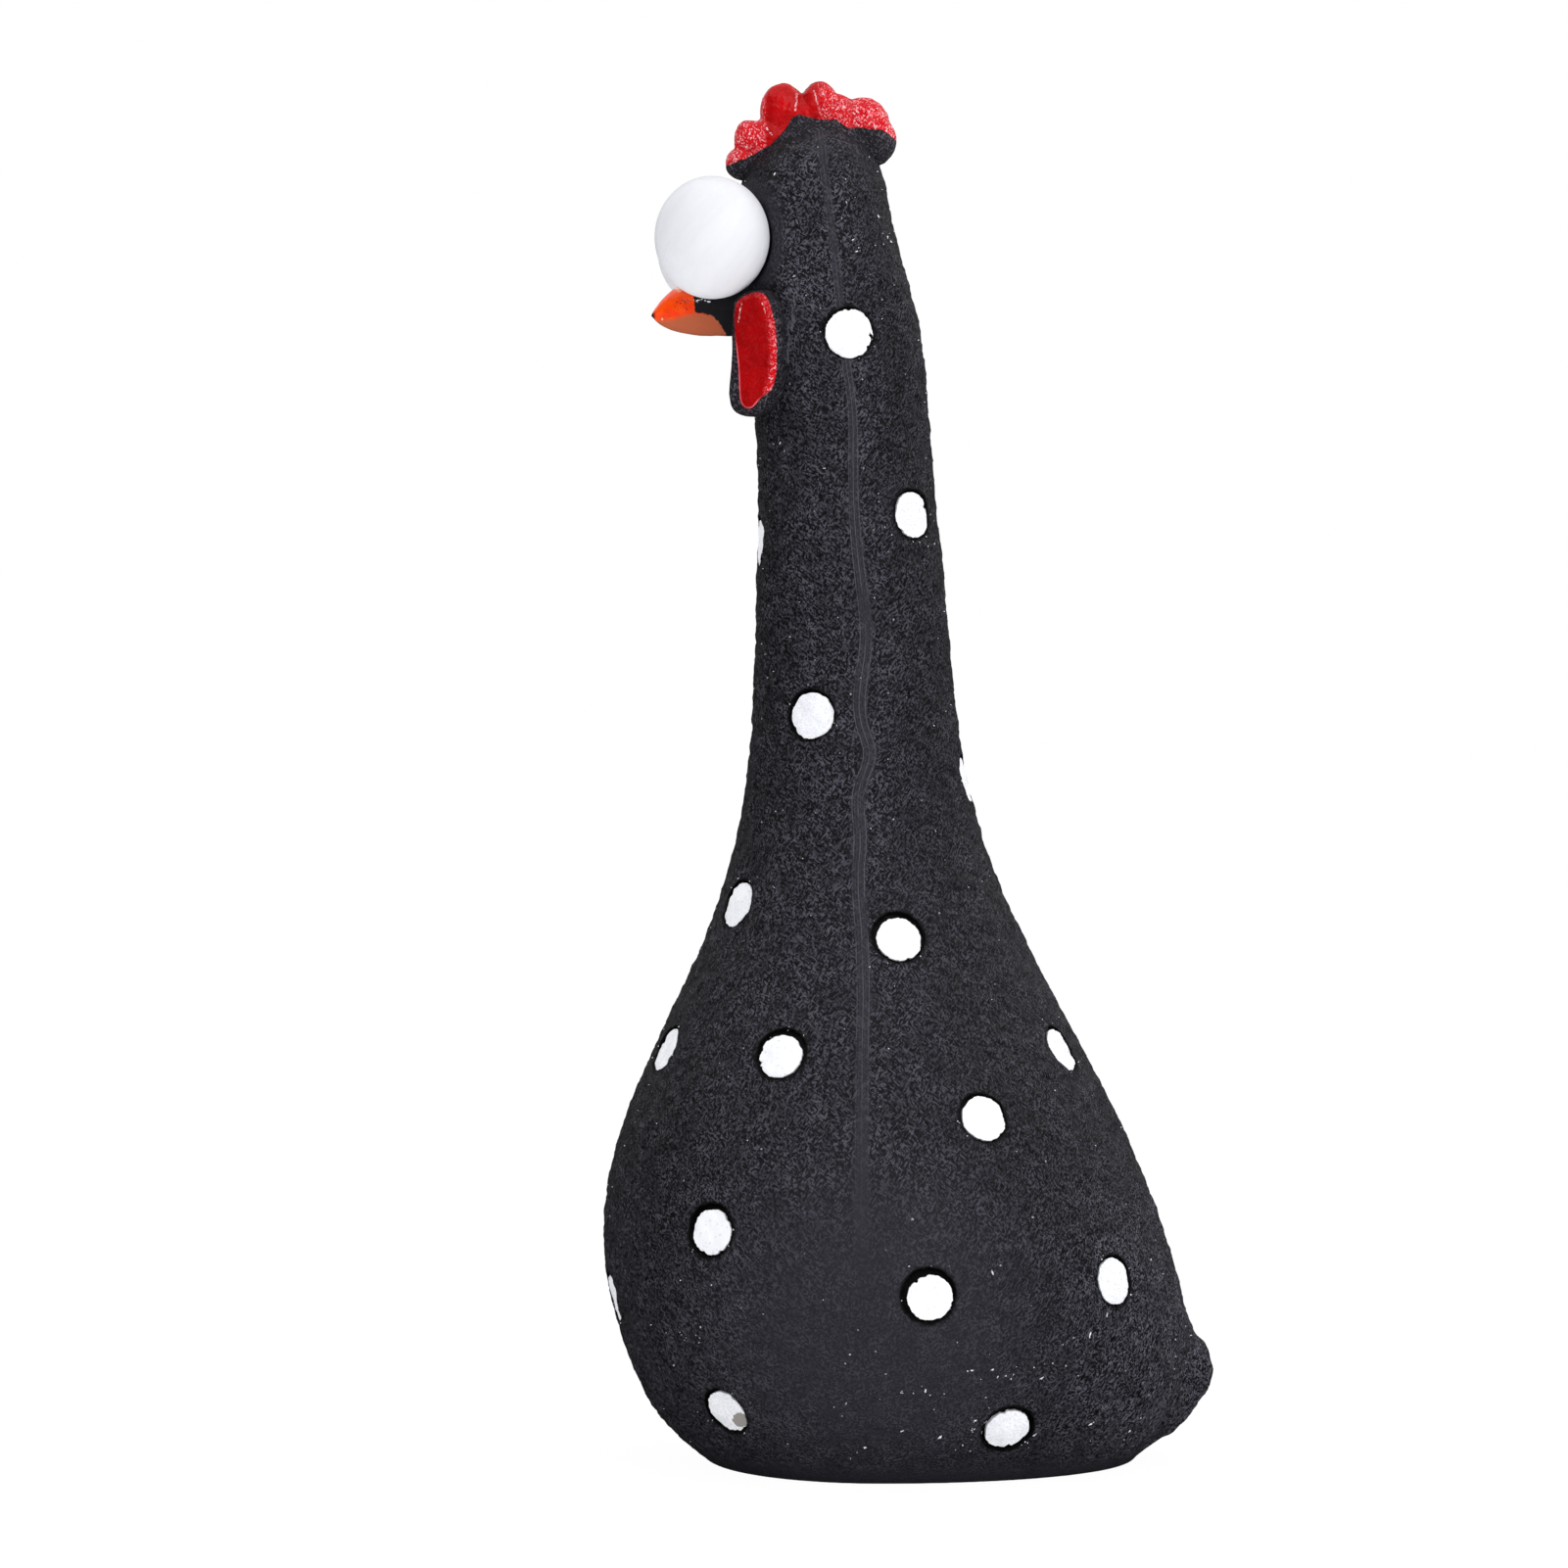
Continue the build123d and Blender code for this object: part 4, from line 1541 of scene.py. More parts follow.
@dataclass
class Eyes:
    """Two large white ball eyes."""

    segments: int = 96
    ring_count: int = 64
    unevenness: float = 0.1
    dent_size: float = 5.0
    sharp_angle: float = 60.0

    def build(self, finish: BallWhite) -> None:
        """Model the left ball, mirror it and set both on the frame.

        Args:
            finish: The white of the balls.
        """
        low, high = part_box("eye_left")
        centre, radii = (low + high) / 2, (high - low) / 2
        inner = radii - Vector((1, 1, 1)) * self.unevenness / 2 * MM
        ball = Bench.ball("ball_eye_left", centre, inner, self.segments, self.ring_count)
        Bench.lump(ball, self.dent_size, self.unevenness)
        Bench.soften(ball, self.sharp_angle)
        Bench.dress(ball, finish.make(centre, radii))
        twin = Bench.twin(ball, "ball_eye_right")
        Bench.mount(ball, "eye_white", "eye_left")
        Bench.mount(twin, "eye_white", "eye_right")


@dataclass(frozen=True)
class Lobe:
    """One swelling of the comb: its middle, its half sizes and its half thickness."""

    y: float
    z: float
    half_length: float
    half_height: float
    half_thickness: float = 3.0


@dataclass(frozen=True)
class Gleam:
    """One painted highlight, a pale streak: its two ends and its half width."""

    start: Pair
    end: Pair
    half_width: float = 0.3

    def show(self, across: Rows, up: Rows) -> Rows:
        """Say how strongly the streak shows at each place.

        Args:
            across: Places across the piece.
            up: Places up the piece.

        Returns:
            Weights from 0 to 1.
        """
        run = np.subtract(self.end, self.start)
        places = np.column_stack([across, up]) - self.start
        share = np.clip(places @ run / (run @ run), 0, 1)
        away = np.linalg.norm(places - share[:, None] * run, axis=1)
        return 1 - ease(self.half_width * 0.4, self.half_width * 1.6, away)


@dataclass
class Comb:
    """Four-lobed comb, red above a hand-painted edge and black below it."""

    voxel: float = 0.2
    passes: int = 5
    lump_size: float = 1.6
    lump_height: float = 0.3
    sharp_angle: float = 70.0
    lobes: tuple[Lobe, ...] = (
        Lobe(-23.9, 187.9, 2.7, 2.5, 2.6), Lobe(-22.7, 191.3, 2.7, 3.0, 2.7),
        Lobe(-23.5, 192.5, 1.5, 1.7, 2.2),
        Lobe(-18.2, 195.5, 3.4, 4.1), Lobe(-12.9, 195.85, 2.9, 4.1), Lobe(-10.4, 194.6, 3.0, 3.5),
        Lobe(-6.6, 193.6, 3.9, 3.95), Lobe(-4.9, 191.3, 3.2, 3.7, 2.8))
    web: tuple[Lobe, ...] = (
        Lobe(-20.0, 190.6, 3.6, 4.2, 3.1), Lobe(-15.4, 193.4, 3.6, 4.3, 3.0),
        Lobe(-9.4, 191.8, 4.0, 4.0, 3.1),
        Lobe(-13.4, 190.6, 8.6, 4.0, 4.6))
    edge: tuple[Pair, ...] = (
        (-26.0, 187.5), (-23.1, 188.5), (-19.8, 190.5), (-18.2, 192.0), (-16.8, 194.3), (-16.05, 194.7),
        (-15.0, 194.4), (-12.3, 193.9), (-10.6, 193.9), (-8.8, 192.7), (-6.1, 192.7), (-3.85, 192.5),
        (-1.6, 191.0))
    front_end: Pair = (-21.2, -20.4)
    third_start: Pair = (-13.6, -11.8)
    third_end: Pair = (-8.8, -8.0)
    third_share: float = 0.85
    back_start: Pair = (-8.6, -7.8)
    least_speckle: float = 0.06
    # Painted highlights on the lobes, as pale streaks.
    gleams: tuple[Gleam, ...] = (
        Gleam((-16.2, 197.8), (-16.4, 195.3), 0.24), Gleam((-13.7, 198.2), (-12.9, 195.0), 0.2),
        Gleam((-12.9, 195.0), (-11.6, 193.9), 0.22), Gleam((-13.2, 199.4), (-12.9, 198.2), 0.14),
        Gleam((-20.6, 192.8), (-19.8, 191.7), 0.18), Gleam((-25.9, 187.6), (-25.7, 186.9), 0.22),
        Gleam((-12.4, 197.9), (-12.3, 197.6), 0.26), Gleam((-2.7, 194.2), (-2.3, 192.9), 0.16))

    def build(self, material: Material) -> None:
        """Pile up the lobes, fuse them, and set the comb on the frame.

        Args:
            material: The red finish.
        """
        comb = Bench.join("comb_lobes", [
            Bench.ball("lobe", metres(0, lobe.y, lobe.z),
                       metres(lobe.half_thickness, lobe.half_length, lobe.half_height), 48, 32)
            for lobe in self.lobes + self.web])
        Bench.fuse(comb, self.voxel)
        Bench.smooth(comb, self.passes)
        Bench.lump(comb, self.lump_size, self.lump_height, 0.62)
        _, y, z = Bench.corners(comb).T
        # speckle: frosting on the front, third and back lobes, which also stands in for painted glints.
        front = 1 - ease(*self.front_end, y)
        third = ease(*self.third_start, y) * (1 - ease(*self.third_end, y)) * self.third_share
        back = ease(*self.back_start, y)
        Bench.mask(comb, paint=z - np.interp(y, *np.array(self.edge).T), lined=0.0,
                   speckle=np.clip(front + third + back + self.least_speckle, 0, 1),
                   gleam=np.max([gleam.show(y, z) for gleam in self.gleams], axis=0))
        Bench.soften(comb, self.sharp_angle)
        Bench.dress(comb, material)
        Bench.mount(comb, "comb_red", "comb")


@dataclass
class Wattles:
    """A pair of leaf-shaped lobes beside the beak, red on the outer face and black round the rim."""

    thickness: float = 5.0
    rounding: float = 2.3
    rounding_steps: int = 6
    twin_length: float = 0.92
    turn: float = 25.0
    origin: Point = (8.2, -22.35, 159.5)
    segments: int = 120
    voxel: float = 0.19
    passes: int = 4
    lump_size: float = 2.6
    lump_height: float = 0.3
    sharp_angle: float = 70.0
    outline: tuple[Pair, ...] = (
        (1.6, 9.2), (3.3, 8.5), (4.4, 6.6), (4.9, 3.5), (5.1, 0.3), (5.1, -2.6), (4.4, -5.4), (2.9, -7.3),
        (1.2, -8.6), (-0.8, -8.9), (-2.5, -8.1), (-3.3, -6.2), (-3.2, -3.2), (-2.9, 0.0), (-2.85, 3.5),
        (-2.75, 6.4), (-1.8, 8.4))
    painted: tuple[Pair, ...] = (
        (1.7, 8.8), (3.2, 7.8), (4.0, 5.7), (4.4, 3.6), (4.6, 0.4), (4.55, -2.8), (3.8, -5.2), (2.1, -6.6),
        (0.9, -7.8), (-0.4, -7.7), (-1.15, -6.4), (-1.3, -3.6), (-1.6, 0.2), (-2.0, 3.2), (-2.05, 6.0),
        (-1.6, 7.6), (-0.1, 8.5))
    paint_rise: float = 0.4
    smear: Point = (-2.7, -2.1, 1.5)
    smear_sizes: Point = (0.9, 2.7, 1.2)
    smear_reach: float = 0.55
    rear_start: Pair = (1.8, 3.4)
    rear_depth: Pair = (0.4, 1.5)
    rear_fade: Pair = (0.0, 7.0)
    top_start: Pair = (5.5, 7.5)
    top_depth: Pair = (0.3, 1.0)
    front_end: Pair = (0.2, 1.4)
    front_top: Pair = (0.5, 3.5)
    foot_top: Pair = (-7.2, -6.0)
    # Painted highlights on the face, as pale streaks.
    gleams: tuple[Gleam, ...] = (Gleam((-0.8, 7.4), (-1.3, 4.6), 0.2), Gleam((2.4, 7.2), (3.0, 5.6), 0.16))

    def loop(self, points: tuple[Pair, ...]) -> Rows:
        """Draw a smooth closed line through points.

        Args:
            points: Across and up, in order round the line.

        Returns:
            One row of across and up for each corner of the line.
        """
        lap = np.array(points * 3)
        at = len(points) * (1 + np.arange(self.segments) / self.segments)
        return natural_spline(np.arange(len(lap), dtype=float), lap, at)

    def build_leaf(self) -> Piece:
        """Model the leaf flat, with its face up.

        Returns:
            The closed leaf, with its length along Y.
        """
        leaf = Bench.start("wattle_leaf_left", "circle", vertices=self.segments, radius=MM, fill_type="NGON")
        line = self.loop(self.outline)
        Bench.move_corners(leaf, np.column_stack([line, np.full(len(line), -self.thickness / 2)]))
        with Bench.editing(leaf):
            Bench.extrude(0, 0, self.thickness)
            Bench.face_outwards()
        Bench.modify(leaf, "BEVEL", width=self.rounding * MM, segments=self.rounding_steps,
                     limit_method="ANGLE", angle_limit=math.radians(60))
        Bench.fuse(leaf, self.voxel)
        Bench.smooth(leaf, self.passes)
        Bench.lump(leaf, self.lump_size, self.lump_height, 0.6)
        return leaf

    def depth_inside(self, spots: Rows) -> Rows:
        """Measure how far places lie inside the painted face's edge.

        Args:
            spots: One row of across, up and out for each place.

        Returns:
            Distances in millimetres, below 0 outside.
        """
        line = self.loop(self.painted)
        nearest = np.full(len(spots), np.inf)
        inside = np.zeros(len(spots), bool)
        for start, end in zip(line, np.roll(line, -1, axis=0)):
            run, away = end - start, spots[:, :2] - start
            share = np.clip(away @ run / (run @ run), 0, 1)
            nearest = np.minimum(nearest, np.linalg.norm(away - share[:, None] * run, axis=1))
            crosses = (start[1] > spots[:, 1]) != (end[1] > spots[:, 1])
            if run[1]:
                inside ^= crosses & (away[:, 0] < away[:, 1] / run[1] * run[0])
        return np.minimum(np.where(inside, nearest, -nearest), spots[:, 2] - self.paint_rise)

    def mask(self, leaf: Piece) -> None:
        """Write where the red, the frosting, the pale line and the pale streaks lie; the line and the streaks
        are painted highlights.

        Args:
            leaf: The leaf, still flat.
        """
        spots = Bench.corners(leaf)
        across, up = spots[:, 0], spots[:, 1]
        depth = self.depth_inside(spots)
        smear = self.smear_reach - np.linalg.norm((spots - self.smear) / self.smear_sizes, axis=1)
        rear = ease(*self.rear_start, across + 0.05 * up) * (1 - ease(*self.rear_depth, depth))
        rear *= 0.9 - 0.5 * ease(*self.rear_fade, up)
        top = 0.2 * ease(*self.top_start, up) * (1 - ease(*self.top_depth, depth))
        front = (1 - ease(*self.front_end, across)) * (1 - ease(*self.front_top, up))
        foot = 1 - ease(*self.foot_top, up)
        # lined places the painted highlight line at the front and the foot; speckle is frosting that also
        # stands in for painted glints.
        Bench.mask(leaf, paint=np.maximum(depth, smear), speckle=np.clip(0.04 + rear + top, 0, 1),
                   gleam=np.max([gleam.show(across, up) for gleam in self.gleams], axis=0),
                   lined=np.clip(front + foot, 0, 1) * ease(-0.3, 0.0, depth))

    def build(self, material: Material) -> None:
        """Turn the leaf into place on both cheeks and set it on the frame.

        Args:
            material: The red finish.
        """
        leaf = self.build_leaf()
        self.mask(leaf)
        out = math.radians(self.turn)
        along, face = Vector((math.sin(out), math.cos(out), 0)), Vector((math.cos(out), -math.sin(out), 0))
        turned = Matrix((along, Vector((0, 0, 1)), face)).transposed().to_4x4()
        Bench.place(leaf, Matrix.Translation(Vector(self.origin) * MM) @ turned)
        with Bench.editing(leaf):
            Bench.face_outwards()
        Bench.soften(leaf, self.sharp_angle)
        Bench.dress(leaf, material)
        twin = Bench.twin(leaf, "wattle_leaf_right")
        with Bench.editing(twin):
            top = metres(0, 0, self.origin[2] + self.outline[0][1])
            bpy.ops.transform.resize(value=(1, 1, self.twin_length), center_override=top)
        Bench.mount(leaf, "wattle_red", "wattle_left")
        Bench.mount(twin, "wattle_red", "wattle_right")


@dataclass
class Beak:
    """Short oval beak with a drooping tip."""

    segments: int = 48
    reach: float = 12.8
    half_width: float = 4.3
    half_height: float = 4.2
    face_y: float = -24.76
    height: float = 167.1
    tip_drop: float = 1.4
    fullness: float = 4.0
    root: float = 2.0
    steps: int = 22
    sweep: float = 87.0
    voxel: float = 0.18
    passes: int = 3
    groove_width: float = 0.35
    groove_depth: float = 0.14
    lump_size: float = 2.4
    lump_height: float = 0.22
    sharp_angle: float = 70.0
    mouth_height: float = 165.5
    mouth_rise: float = 0.7
    mouth_run: Pair = (-34.5, -31.0)
    paint_edge: float = -30.9
    tongue_end: Pair = (-27.6, 164.8)
    tongue_end_slope: float = 0.7
    tongue_top: Pair = (-30.5, 165.95)
    tongue_top_slope: float = 0.2
    tip_fade: Pair = (0.55, 1.0)
    cloud: Patch = Patch(-32.6, 167.1, 1.5, 1.0, (0.5, 1.3))
    spot: Patch = Patch(-34.7, 165.75, fade=(0.15, 0.45))
    # Where the painted highlight on the beak lies.
    glare: Patch = Patch(-33.4, 169.7, fade=(0.3, 0.9))

    def build(self, material: Material) -> Piece:
        """Draw the beak out from the face and set it on the frame.

        Args:
            material: The orange finish.

        Returns:
            The finished beak.
        """
        beak = Bench.start("beak_shell", "circle", vertices=self.segments, radius=1.0, fill_type="NGON",
                           rotation=(math.radians(90), 0, 0))
        with Bench.editing(beak):
            bpy.ops.transform.resize(value=(self.half_width * MM, 1, self.half_height * MM))
            bpy.ops.transform.translate(value=metres(0, self.face_y + self.root, self.height))
            before, drop, ahead = 1.0, 0.0, -self.root
            for step in range(self.steps + 1):
                share = math.sin(math.radians(self.sweep) * step / self.steps)
                taper, sink = 1 - share**self.fullness, self.tip_drop * share**self.fullness
                Bench.extrude(0, ahead - self.reach * share, drop - sink)
                ahead, drop = self.reach * share, sink
                pivot = metres(0, self.face_y - ahead, self.height - drop)
                bpy.ops.transform.resize(value=(taper / before,) * 3, center_override=pivot)
                before = taper
            Bench.face_outwards()
        Bench.fuse(beak, self.voxel)
        Bench.smooth(beak, self.passes)
        self.shape(beak)
        self.mask(beak)
        Bench.soften(beak, self.sharp_angle)
        Bench.dress(beak, material)
        Bench.mount(beak, "beak_orange", "beak")
        return beak

    def mouth(self, y: Rows) -> Rows:
        """Height of the mouth line at each place."""
        return self.mouth_height + self.mouth_rise * ease(*self.mouth_run, y)

    def shape(self, beak: Piece) -> None:
        """Press the mouth line in and make the surface uneven.

        Args:
            beak: The fused beak.
        """
        spots = Bench.corners(beak)
        above = (spots[:, 2] - self.mouth(spots[:, 1])) / self.groove_width
        groove = np.exp(-(above**2)) * self.groove_depth
        normals = Bench.rows(beak.data.vertex_normals, "vector")
        Bench.move_corners(beak, spots - normals * groove[:, None])
        Bench.lump(beak, self.lump_size, self.lump_height, 0.6)

    def mask(self, beak: Piece) -> None:
        """Write where each paint lies.

        Args:
            beak: The finished mesh.
        """
        _, y, z = Bench.corners(beak).T
        (end_y, end_z), (top_y, top_z) = self.tongue_end, self.tongue_top
        tongue = np.minimum(end_y - self.tongue_end_slope * (z - end_z) - y,
                            top_z - self.tongue_top_slope * (y - top_y) - z)
        tip = Patch(self.face_y - self.reach, self.height - self.tip_drop, fade=self.tip_fade)
        Bench.mask(beak, paint=np.maximum(self.paint_edge - y, tongue), lower=self.mouth(y) - z,
                   tip=tip.show(y, z), smudge=np.maximum(self.cloud.show(y, z), self.spot.show(y, z)),
                   glare=self.glare.show(y, z))


@dataclass(frozen=True)
class Fleck:
    """One white fleck: where the camera sees it on the middle plane, its length and its slant."""

    y: float
    z: float
    length: float
    slant: float


@dataclass(frozen=True)
class Splatter:
    """A cluster of small flecks: its middle on the middle plane, its half sizes and how many there are."""

    y: float
    z: float
    half_length: float
    half_height: float
    count: int


@dataclass
class Flecks:
    """Small splashes of white paint and adhesive on the black, with a scatter that also stands in for painted
    glints.
    """

    eye_point: Point = (740.0, -18.05, 97.9)
    seen: tuple[Fleck, ...] = tuple(Fleck(*row) for row in (
        (4.6, 3.1, 1.3, 55), (26.4, 18.1, 1.4, 70), (28.8, 20.8, 0.9, 55), (26.5, 5.0, 1.0, 42),
        (32.1, 4.0, 0.5, 45), (-0.9, 4.0, 0.5, 20), (-0.9, 9.5, 0.6, -35), (2.5, 9.8, 0.7, 80),
        (9.2, 12.8, 0.6, 10), (12.2, 12.9, 0.7, 25), (13.0, 11.9, 0.5, 60), (19.4, 11.7, 0.7, 30),
        (24.0, 17.5, 0.4, 0), (12.2, 27.0, 0.8, -70), (0.1, 27.9, 0.3, 15), (35.2, 28.9, 0.4, 50),
        (-6.3, 1.6, 0.5, 5), (-8.5, 15.1, 0.4, 35), (9.7, 5.5, 0.6, 15), (11.3, 5.4, 0.5, 50),
        (10.6, 3.8, 0.6, 75), (18.3, 3.4, 0.7, 60), (-18.6, 147.4, 0.4, 70), (-12.2, 143.7, 0.4, 0),
        (3.8, 132.8, 0.5, 30), (-1.4, 135.5, 0.4, 80), (2.6, 133.8, 0.4, -20), (-4.4, 180.3, 0.7, -60),
        (-3.0, 177.3, 0.9, 55), (-2.5, 176.6, 0.6, -20), (-8.0, 176.9, 0.5, 40), (-7.5, 175.2, 0.6, 10),
        (-16.6, 171.6, 0.4, 25), (-9.0, 182.4, 0.5, 70), (-19.4, 186.4, 0.6, 60), (-30.6, 168.1, 0.8, 20),
        (-29.0, 167.9, 0.9, -15), (-29.9, 168.3, 0.5, 50)))
    splatters: tuple[Splatter, ...] = (
        Splatter(-3.0, 177.2, 0.9, 1.0, 6), Splatter(-7.0, 174.9, 2.2, 1.2, 4),
        Splatter(12.0, 12.3, 4.0, 1.5, 5), Splatter(10.5, 4.6, 1.6, 1.4, 8), Splatter(1.5, 9.6, 3.0, 1.2, 4),
        Splatter(-31.5, 16.5, 1.5, 1.6, 6), Splatter(-10.0, 11.0, 7.0, 4.0, 5),
        Splatter(20.0, 11.0, 6.0, 6.0, 6), Splatter(-3.0, 134.4, 2.4, 1.4, 3),
        Splatter(-30.0, 168.1, 1.2, 0.3, 6))
    splat_length: Pair = (0.1, 0.3)
    splat_slant: Pair = (-20.0, 80.0)
    scattered: int = 380
    scatter_length: Pair = (0.08, 0.26)
    scatter_foot: float = 4.0
    scatter_rise: float = 186.0
    scatter_start: float = 70.0
    scatter_power: float = 1.5
    axis_y: float = -7.0
    axis_lean: float = 0.02
    any_slant: Pair = (-90.0, 90.0)
    kinds: int = 9
    corners: int = 9
    raggedness: float = 0.16
    seed: int = 11
    thickness: float = 0.05
    least_width: float = 0.1
    width_share: float = 0.18
    ring_flecks: int = 3
    ring_reach: Pair = (3.75, 4.2)
    ring_start: float = 8.0

    def build(self, grounds: list[Piece], dots: dict[str, Matrix], material: Material) -> None:
        """Splash the flecks on and set them on the frame as one piece.

        Args:
            grounds: The pieces that carry flecks.
            dots: The place of each dot's floor, with its normal along Z.
            material: The white paint.
        """
        masters = [self.build_master(number) for number in range(self.kinds)]
        flakes = [flake for number, spot in enumerate(self.spots(dots))
                  if (flake := self.splash(grounds, masters[number % self.kinds], *spot))]
        for master in masters:
            bpy.data.objects.remove(master)
        piece = Bench.join("paint_flecks", flakes)
        Bench.mask(piece, chipped=0.0, mottled=0.0)
        Bench.dress(piece, material)
        Bench.mount(piece, "dot_white")

    def spots(self, dots: dict[str, Matrix]) -> list[tuple[Vector, Vector, float, float]]:
        """Draw up all flecks: those that the camera sees, a fine scatter all round, and some by each dot.

        Args:
            dots: The place of each dot's floor, with its normal along Z.

        Returns:
            For each fleck, where a line to it starts, which way the line runs, its length and its slant.
        """
        draw = random.Random(self.seed)
        seen = list(self.seen)
        for patch in self.splatters:
            for _ in range(patch.count):
                y, z = (patch.y + patch.half_length * draw.uniform(-1, 1),
                        patch.z + patch.half_height * draw.uniform(-1, 1))
                seen.append(Fleck(y, z, draw.uniform(*self.splat_length), draw.uniform(*self.splat_slant)))
        eye = Vector(self.eye_point)
        spots = [(eye, (Vector((0, f.y, f.z)) - eye).normalized(), f.length, f.slant) for f in seen]
        # A fine scatter of white flecks all round: partly paint specks, partly tiny glints on the grain
        # painted in as painted highlights.
        for _ in range(self.scattered):
            height = self.scatter_foot + self.scatter_rise * draw.random() ** self.scatter_power
            bearing = math.radians(draw.uniform(0, 360))
            outward = Vector((math.cos(bearing), math.sin(bearing), 0))
            start = Vector((0, self.axis_y - height * self.axis_lean, height)) + outward * self.scatter_start
            spots.append((start, -outward, draw.uniform(*self.scatter_length), draw.uniform(*self.any_slant)))
        for place in dots.values():
            for _ in range(self.ring_flecks):
                bearing, reach = draw.uniform(-math.pi, math.pi), draw.uniform(*self.ring_reach)
                above = Vector((reach * math.cos(bearing), reach * math.sin(bearing), self.ring_start))
                spots.append((place @ (above * MM) / MM, -place.col[2].to_3d(),
                              draw.uniform(*self.splat_length), draw.uniform(*self.any_slant)))
        return spots

    def build_master(self, number: int) -> Piece:
        """Model one ragged fleck, a millimetre across.

        Args:
            number: Which kind it is, so that each differs.

        Returns:
            The fleck, lying at the origin.
        """
        master = Bench.start("fleck", "circle", vertices=self.corners, radius=MM / 2, fill_type="NGON")
        with Bench.editing(master):
            bpy.ops.transform.vertex_random(offset=self.raggedness * MM, uniform=1.0, normal=0.0, seed=number)
            Bench.extrude(0, 0, 2 * self.thickness)
            bpy.ops.transform.resize(value=(0.7, 0.7, 1))
            Bench.face_outwards()
        return master

    def splash(self, grounds: list[Piece], master: Piece, start: Vector, towards: Vector, length: float,
               slant: float) -> Piece | None:
        """Lay one fleck on what a straight line meets first.

        Args:
            grounds: The pieces that carry flecks.
            master: The fleck to copy.
            start: Where the line starts, in millimetres.
            towards: Which way it runs.
            length: The fleck's length.
            slant: The fleck's slant on the surface, in degrees.

        Returns:
            The fleck, or nothing if the line meets no ground.
        """
        hits = [hit for ground in grounds if (hit := ground.ray_cast(start * MM, towards))[0]]
        if not hits:
            return None
        _, place, normal, _ = min(hits, key=lambda hit: (hit[1] - start * MM).length)
        flake = Bench.copy(master, "fleck")
        width = min(length, self.least_width + self.width_share * length)
        sizes = Matrix.Diagonal((length, width, 1, 1))
        turn = normal.to_track_quat("Z", "Y").to_matrix().to_4x4()
        turn = turn @ Matrix.Rotation(math.radians(slant), 4, "Z")
        Bench.place(flake, Matrix.Translation(place - normal * self.thickness * MM) @ turn @ sizes)
        return flake


@dataclass(frozen=True)
class SoftBox:
    """One square lamp: its name, its place and its side in metres, and its power in watts."""

    name: str
    place: Point
    side: float
    power: float


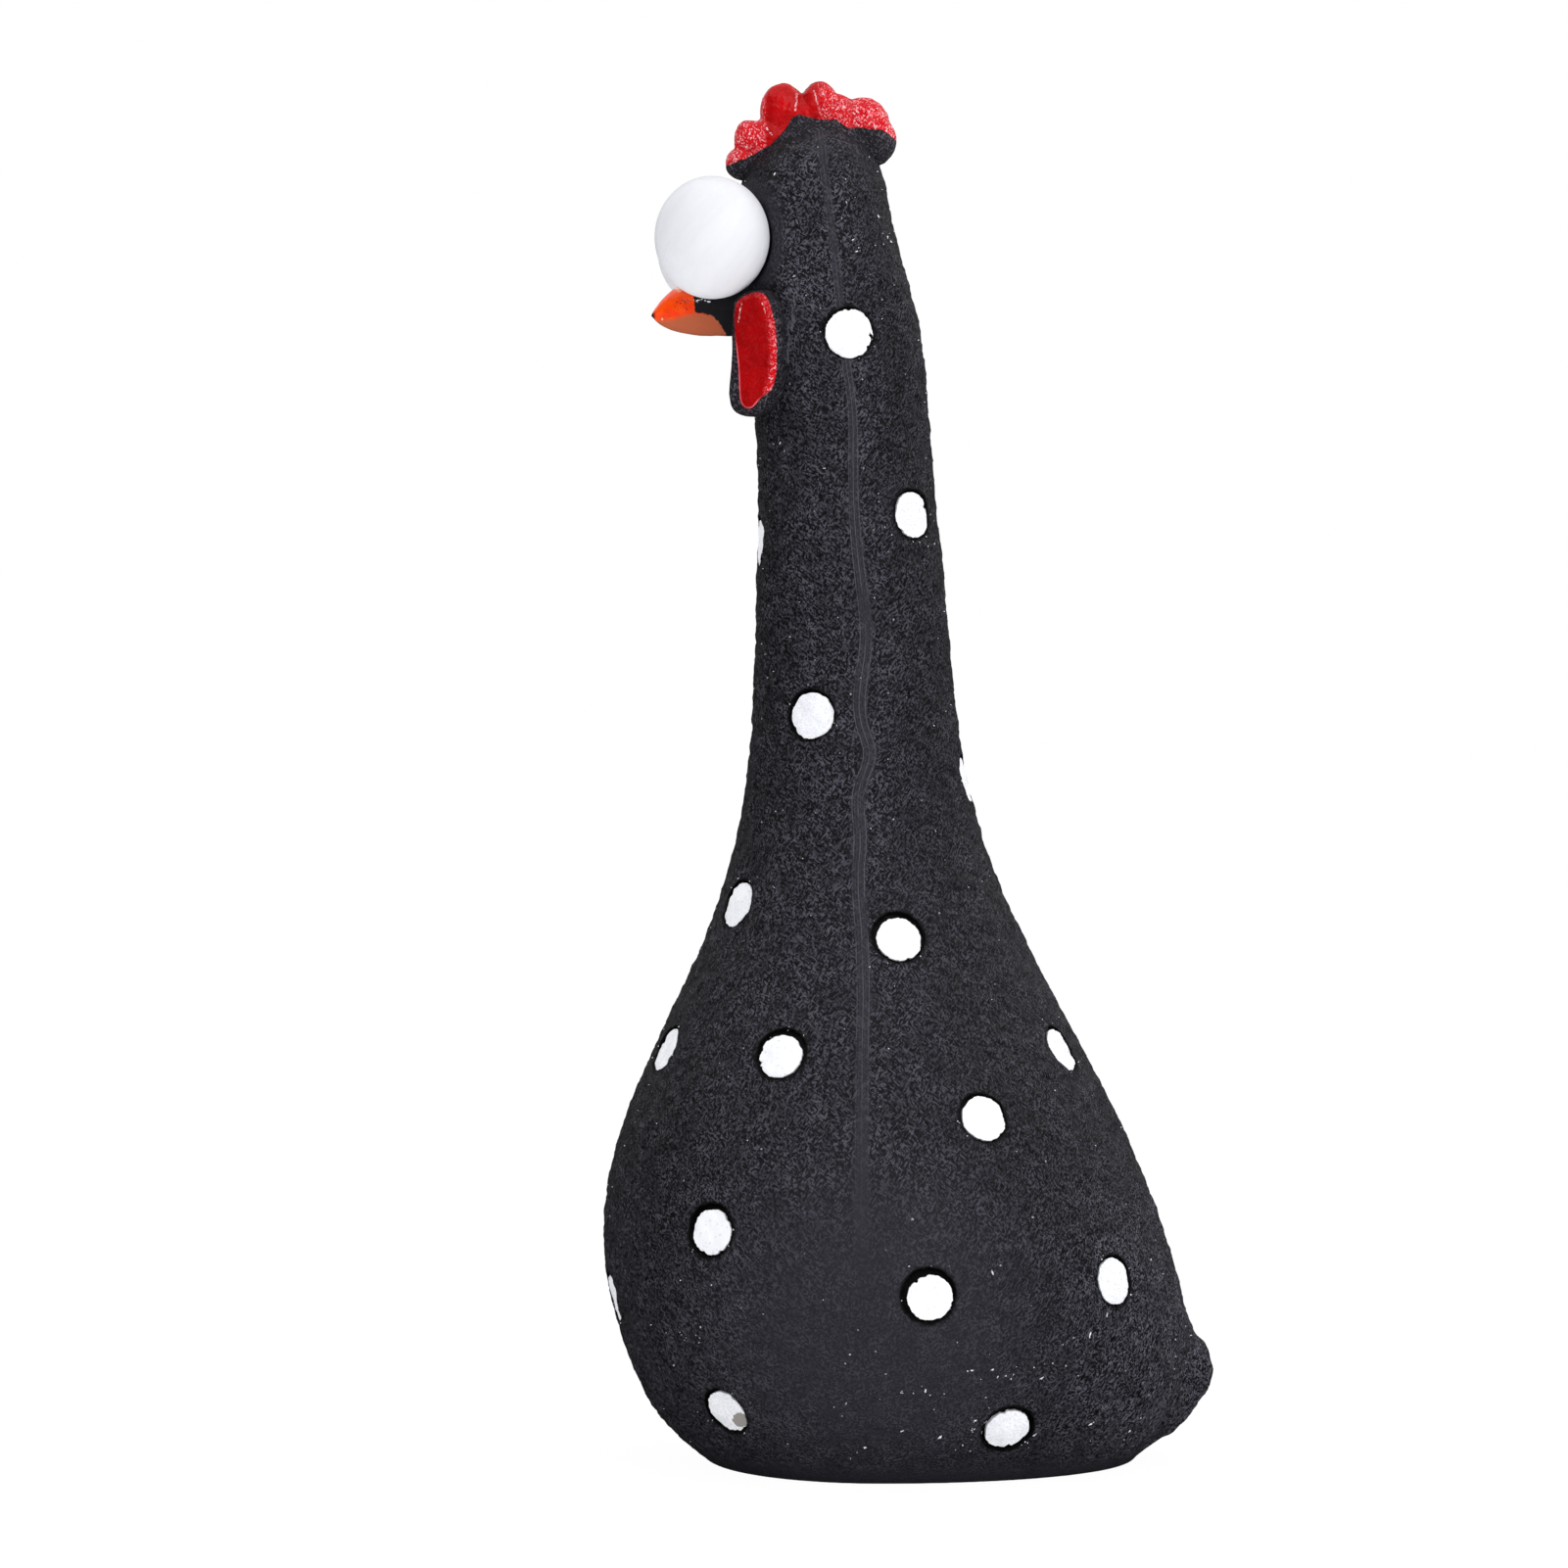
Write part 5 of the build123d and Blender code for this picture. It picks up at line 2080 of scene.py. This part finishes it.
@dataclass
class Studio:
    """Pale floor, soft light and a level camera at the bird's left side."""

    distance: float = 740.0
    aim_y: float = -18.05
    aim_z: float = 97.9
    lens: float = 117.06
    sensor: float = 36.0
    floor_radius: float = 4000.0
    floor_glow: float = 0.2
    floor_veil: float = 0.97
    ambient: Pair = (0.31, 0.80)
    reflected: float = 0.02
    overhead: float = 1.7
    overhead_angle: float = 90.0
    soft_boxes: tuple[SoftBox, ...] = (
        SoftBox("key", (1.05, 0.75, 1.0), 1.0, 7.8), SoftBox("fill", (1.15, -0.65, 1.0), 0.8, 3.1),
        SoftBox("back_left", (-0.95, -0.75, 0.9), 0.9, 3.3),
        SoftBox("back_right", (-0.75, 0.95, 0.9), 0.9, 5.2))

    def build(self) -> None:
        """Set up the floor, the lights and the camera."""
        self.lay_floor()
        for box in self.soft_boxes:
            lamp = bpy.data.lights.new(box.name, "AREA")
            lamp.size, lamp.energy = box.side, box.power
            aim = Vector(metres(0, 0, self.aim_z)) - Vector(box.place)
            self.hang(lamp, box.place, aim.to_track_quat("-Z", "Y").to_euler())
        sun = bpy.data.lights.new("overhead", "SUN")
        sun.energy, sun.angle = self.overhead, math.radians(self.overhead_angle)
        self.hang(sun, (0, 0, 0), (0, 0, 0))
        self.surround()
        bpy.context.scene.view_settings.view_transform = "Standard"
        camera = bpy.data.cameras.new("camera")
        camera.lens, camera.sensor_width = self.lens, self.sensor
        level = (math.radians(90), 0, math.radians(90))
        bpy.context.scene.camera = self.hang(camera, metres(self.distance, self.aim_y, self.aim_z), level)

    @staticmethod
    def hang(thing: bpy.types.ID, place: Point, turn: Point) -> Piece:
        """Hang a lamp or the camera.

        Args:
            thing: The lamp or the camera.
            place: Where it hangs, in metres.
            turn: Its three angles.

        Returns:
            The object that holds it.
        """
        holder = bpy.data.objects.new(thing.name, thing)
        holder.location, holder.rotation_euler = place, turn
        bpy.context.scene.collection.objects.link(holder)
        return holder

    def lay_floor(self) -> None:
        """Lay the floor, lighter for the camera alone, so that the shadow on it stays faint."""
        floor = Bench.start(
            "floor", "circle", vertices=128, radius=self.floor_radius * MM, fill_type="NGON")
        finish = Finish("floor_pale")
        finish.set(Base_Color=(0.95, 0.95, 0.95, 1), Roughness=0.9, Specular_IOR_Level=0.0)
        finish.set(Emission_Color=(1, 1, 1, 1), Emission_Strength=self.floor_glow)
        wires = finish.wires
        share = wires.times(wires.add("LightPath").outputs["Is Camera Ray"], self.floor_veil)
        glow = wires.add("Emission", {"Color": (1, 1, 1, 1), "Strength": 1.0}).outputs[0]
        both = wires.add("MixShader", {0: share, 1: finish.shader.outputs["BSDF"], 2: glow}).outputs[0]
        wires.feed(finish.output.inputs["Surface"], both)
        Bench.dress(floor, finish.material)
        floor.visible_glossy = False
        floor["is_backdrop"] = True

    def surround(self) -> None:
        """Show white behind the bird, light it from all round, and let gloss mirror a dim room."""
        world = bpy.data.worlds.new("studio")
        bpy.context.scene.world = world
        world.use_nodes = True
        world.cycles.sampling_method = "NONE"
        world.node_tree.nodes.clear()
        wires = Wiring(world.node_tree)
        side = wires.add("SeparateXYZ", {0: wires.add("TexCoord").outputs["Generated"]}).outputs["Y"]
        ramp = {"Value": side, "From Min": -1.0, "From Max": 1.0, "To Min": self.ambient[0],
                "To Max": self.ambient[1]}
        level = wires.add("MapRange", ramp).outputs["Result"]
        room, tent, seen = (
            wires.add("Background", {"Color": (1, 1, 1, 1), "Strength": strength}).outputs[0]
            for strength in (self.reflected, level, 1.0))
        path = wires.add("LightPath").outputs
        lit = wires.add("MixShader", {0: path["Is Glossy Ray"], 1: tent, 2: room}).outputs[0]
        both = wires.add("MixShader", {0: path["Is Camera Ray"], 1: lit, 2: seen}).outputs[0]
        wires.add("OutputWorld", {"Surface": both})


def main() -> None:
    """Build every piece in order."""
    logging.basicConfig(level=logging.INFO, format="%(message)s")
    Studio().build()
    places = Dots.places()
    casting = Casting()
    halves, skin = casting.build(places)
    casting.dress(halves, places, SandyBlack().make())
    enamel = DotEnamel().make()
    Dots().build(places, skin, enamel)
    Eyes().build(BallWhite())
    Comb().build(GlossRed().make("comb_red_gloss", wobble=0.9))
    dark_red = GlossRed(red=(0.31, 0.0012, 0.0018, 1), deep=(0.215, 0.0007, 0.0011, 1),
                        black=(0.0122, 0.0116, 0.0145, 1))
    Wattles().build(dark_red.make("wattle_red_gloss", wobble=0.35))
    beak = Beak().build(BeakOrange().make())
    Flecks().build([*halves.values(), beak], places, enamel)
    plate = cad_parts["base_plate"]
    Bench.dress(plate, PlateBlack().make())
    boxes = {"cad": CAD_BOX, "visual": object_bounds()}
    {name: [list(corner) for corner in box] for name, box in boxes.items()}


if __name__ == "__main__":
    main()
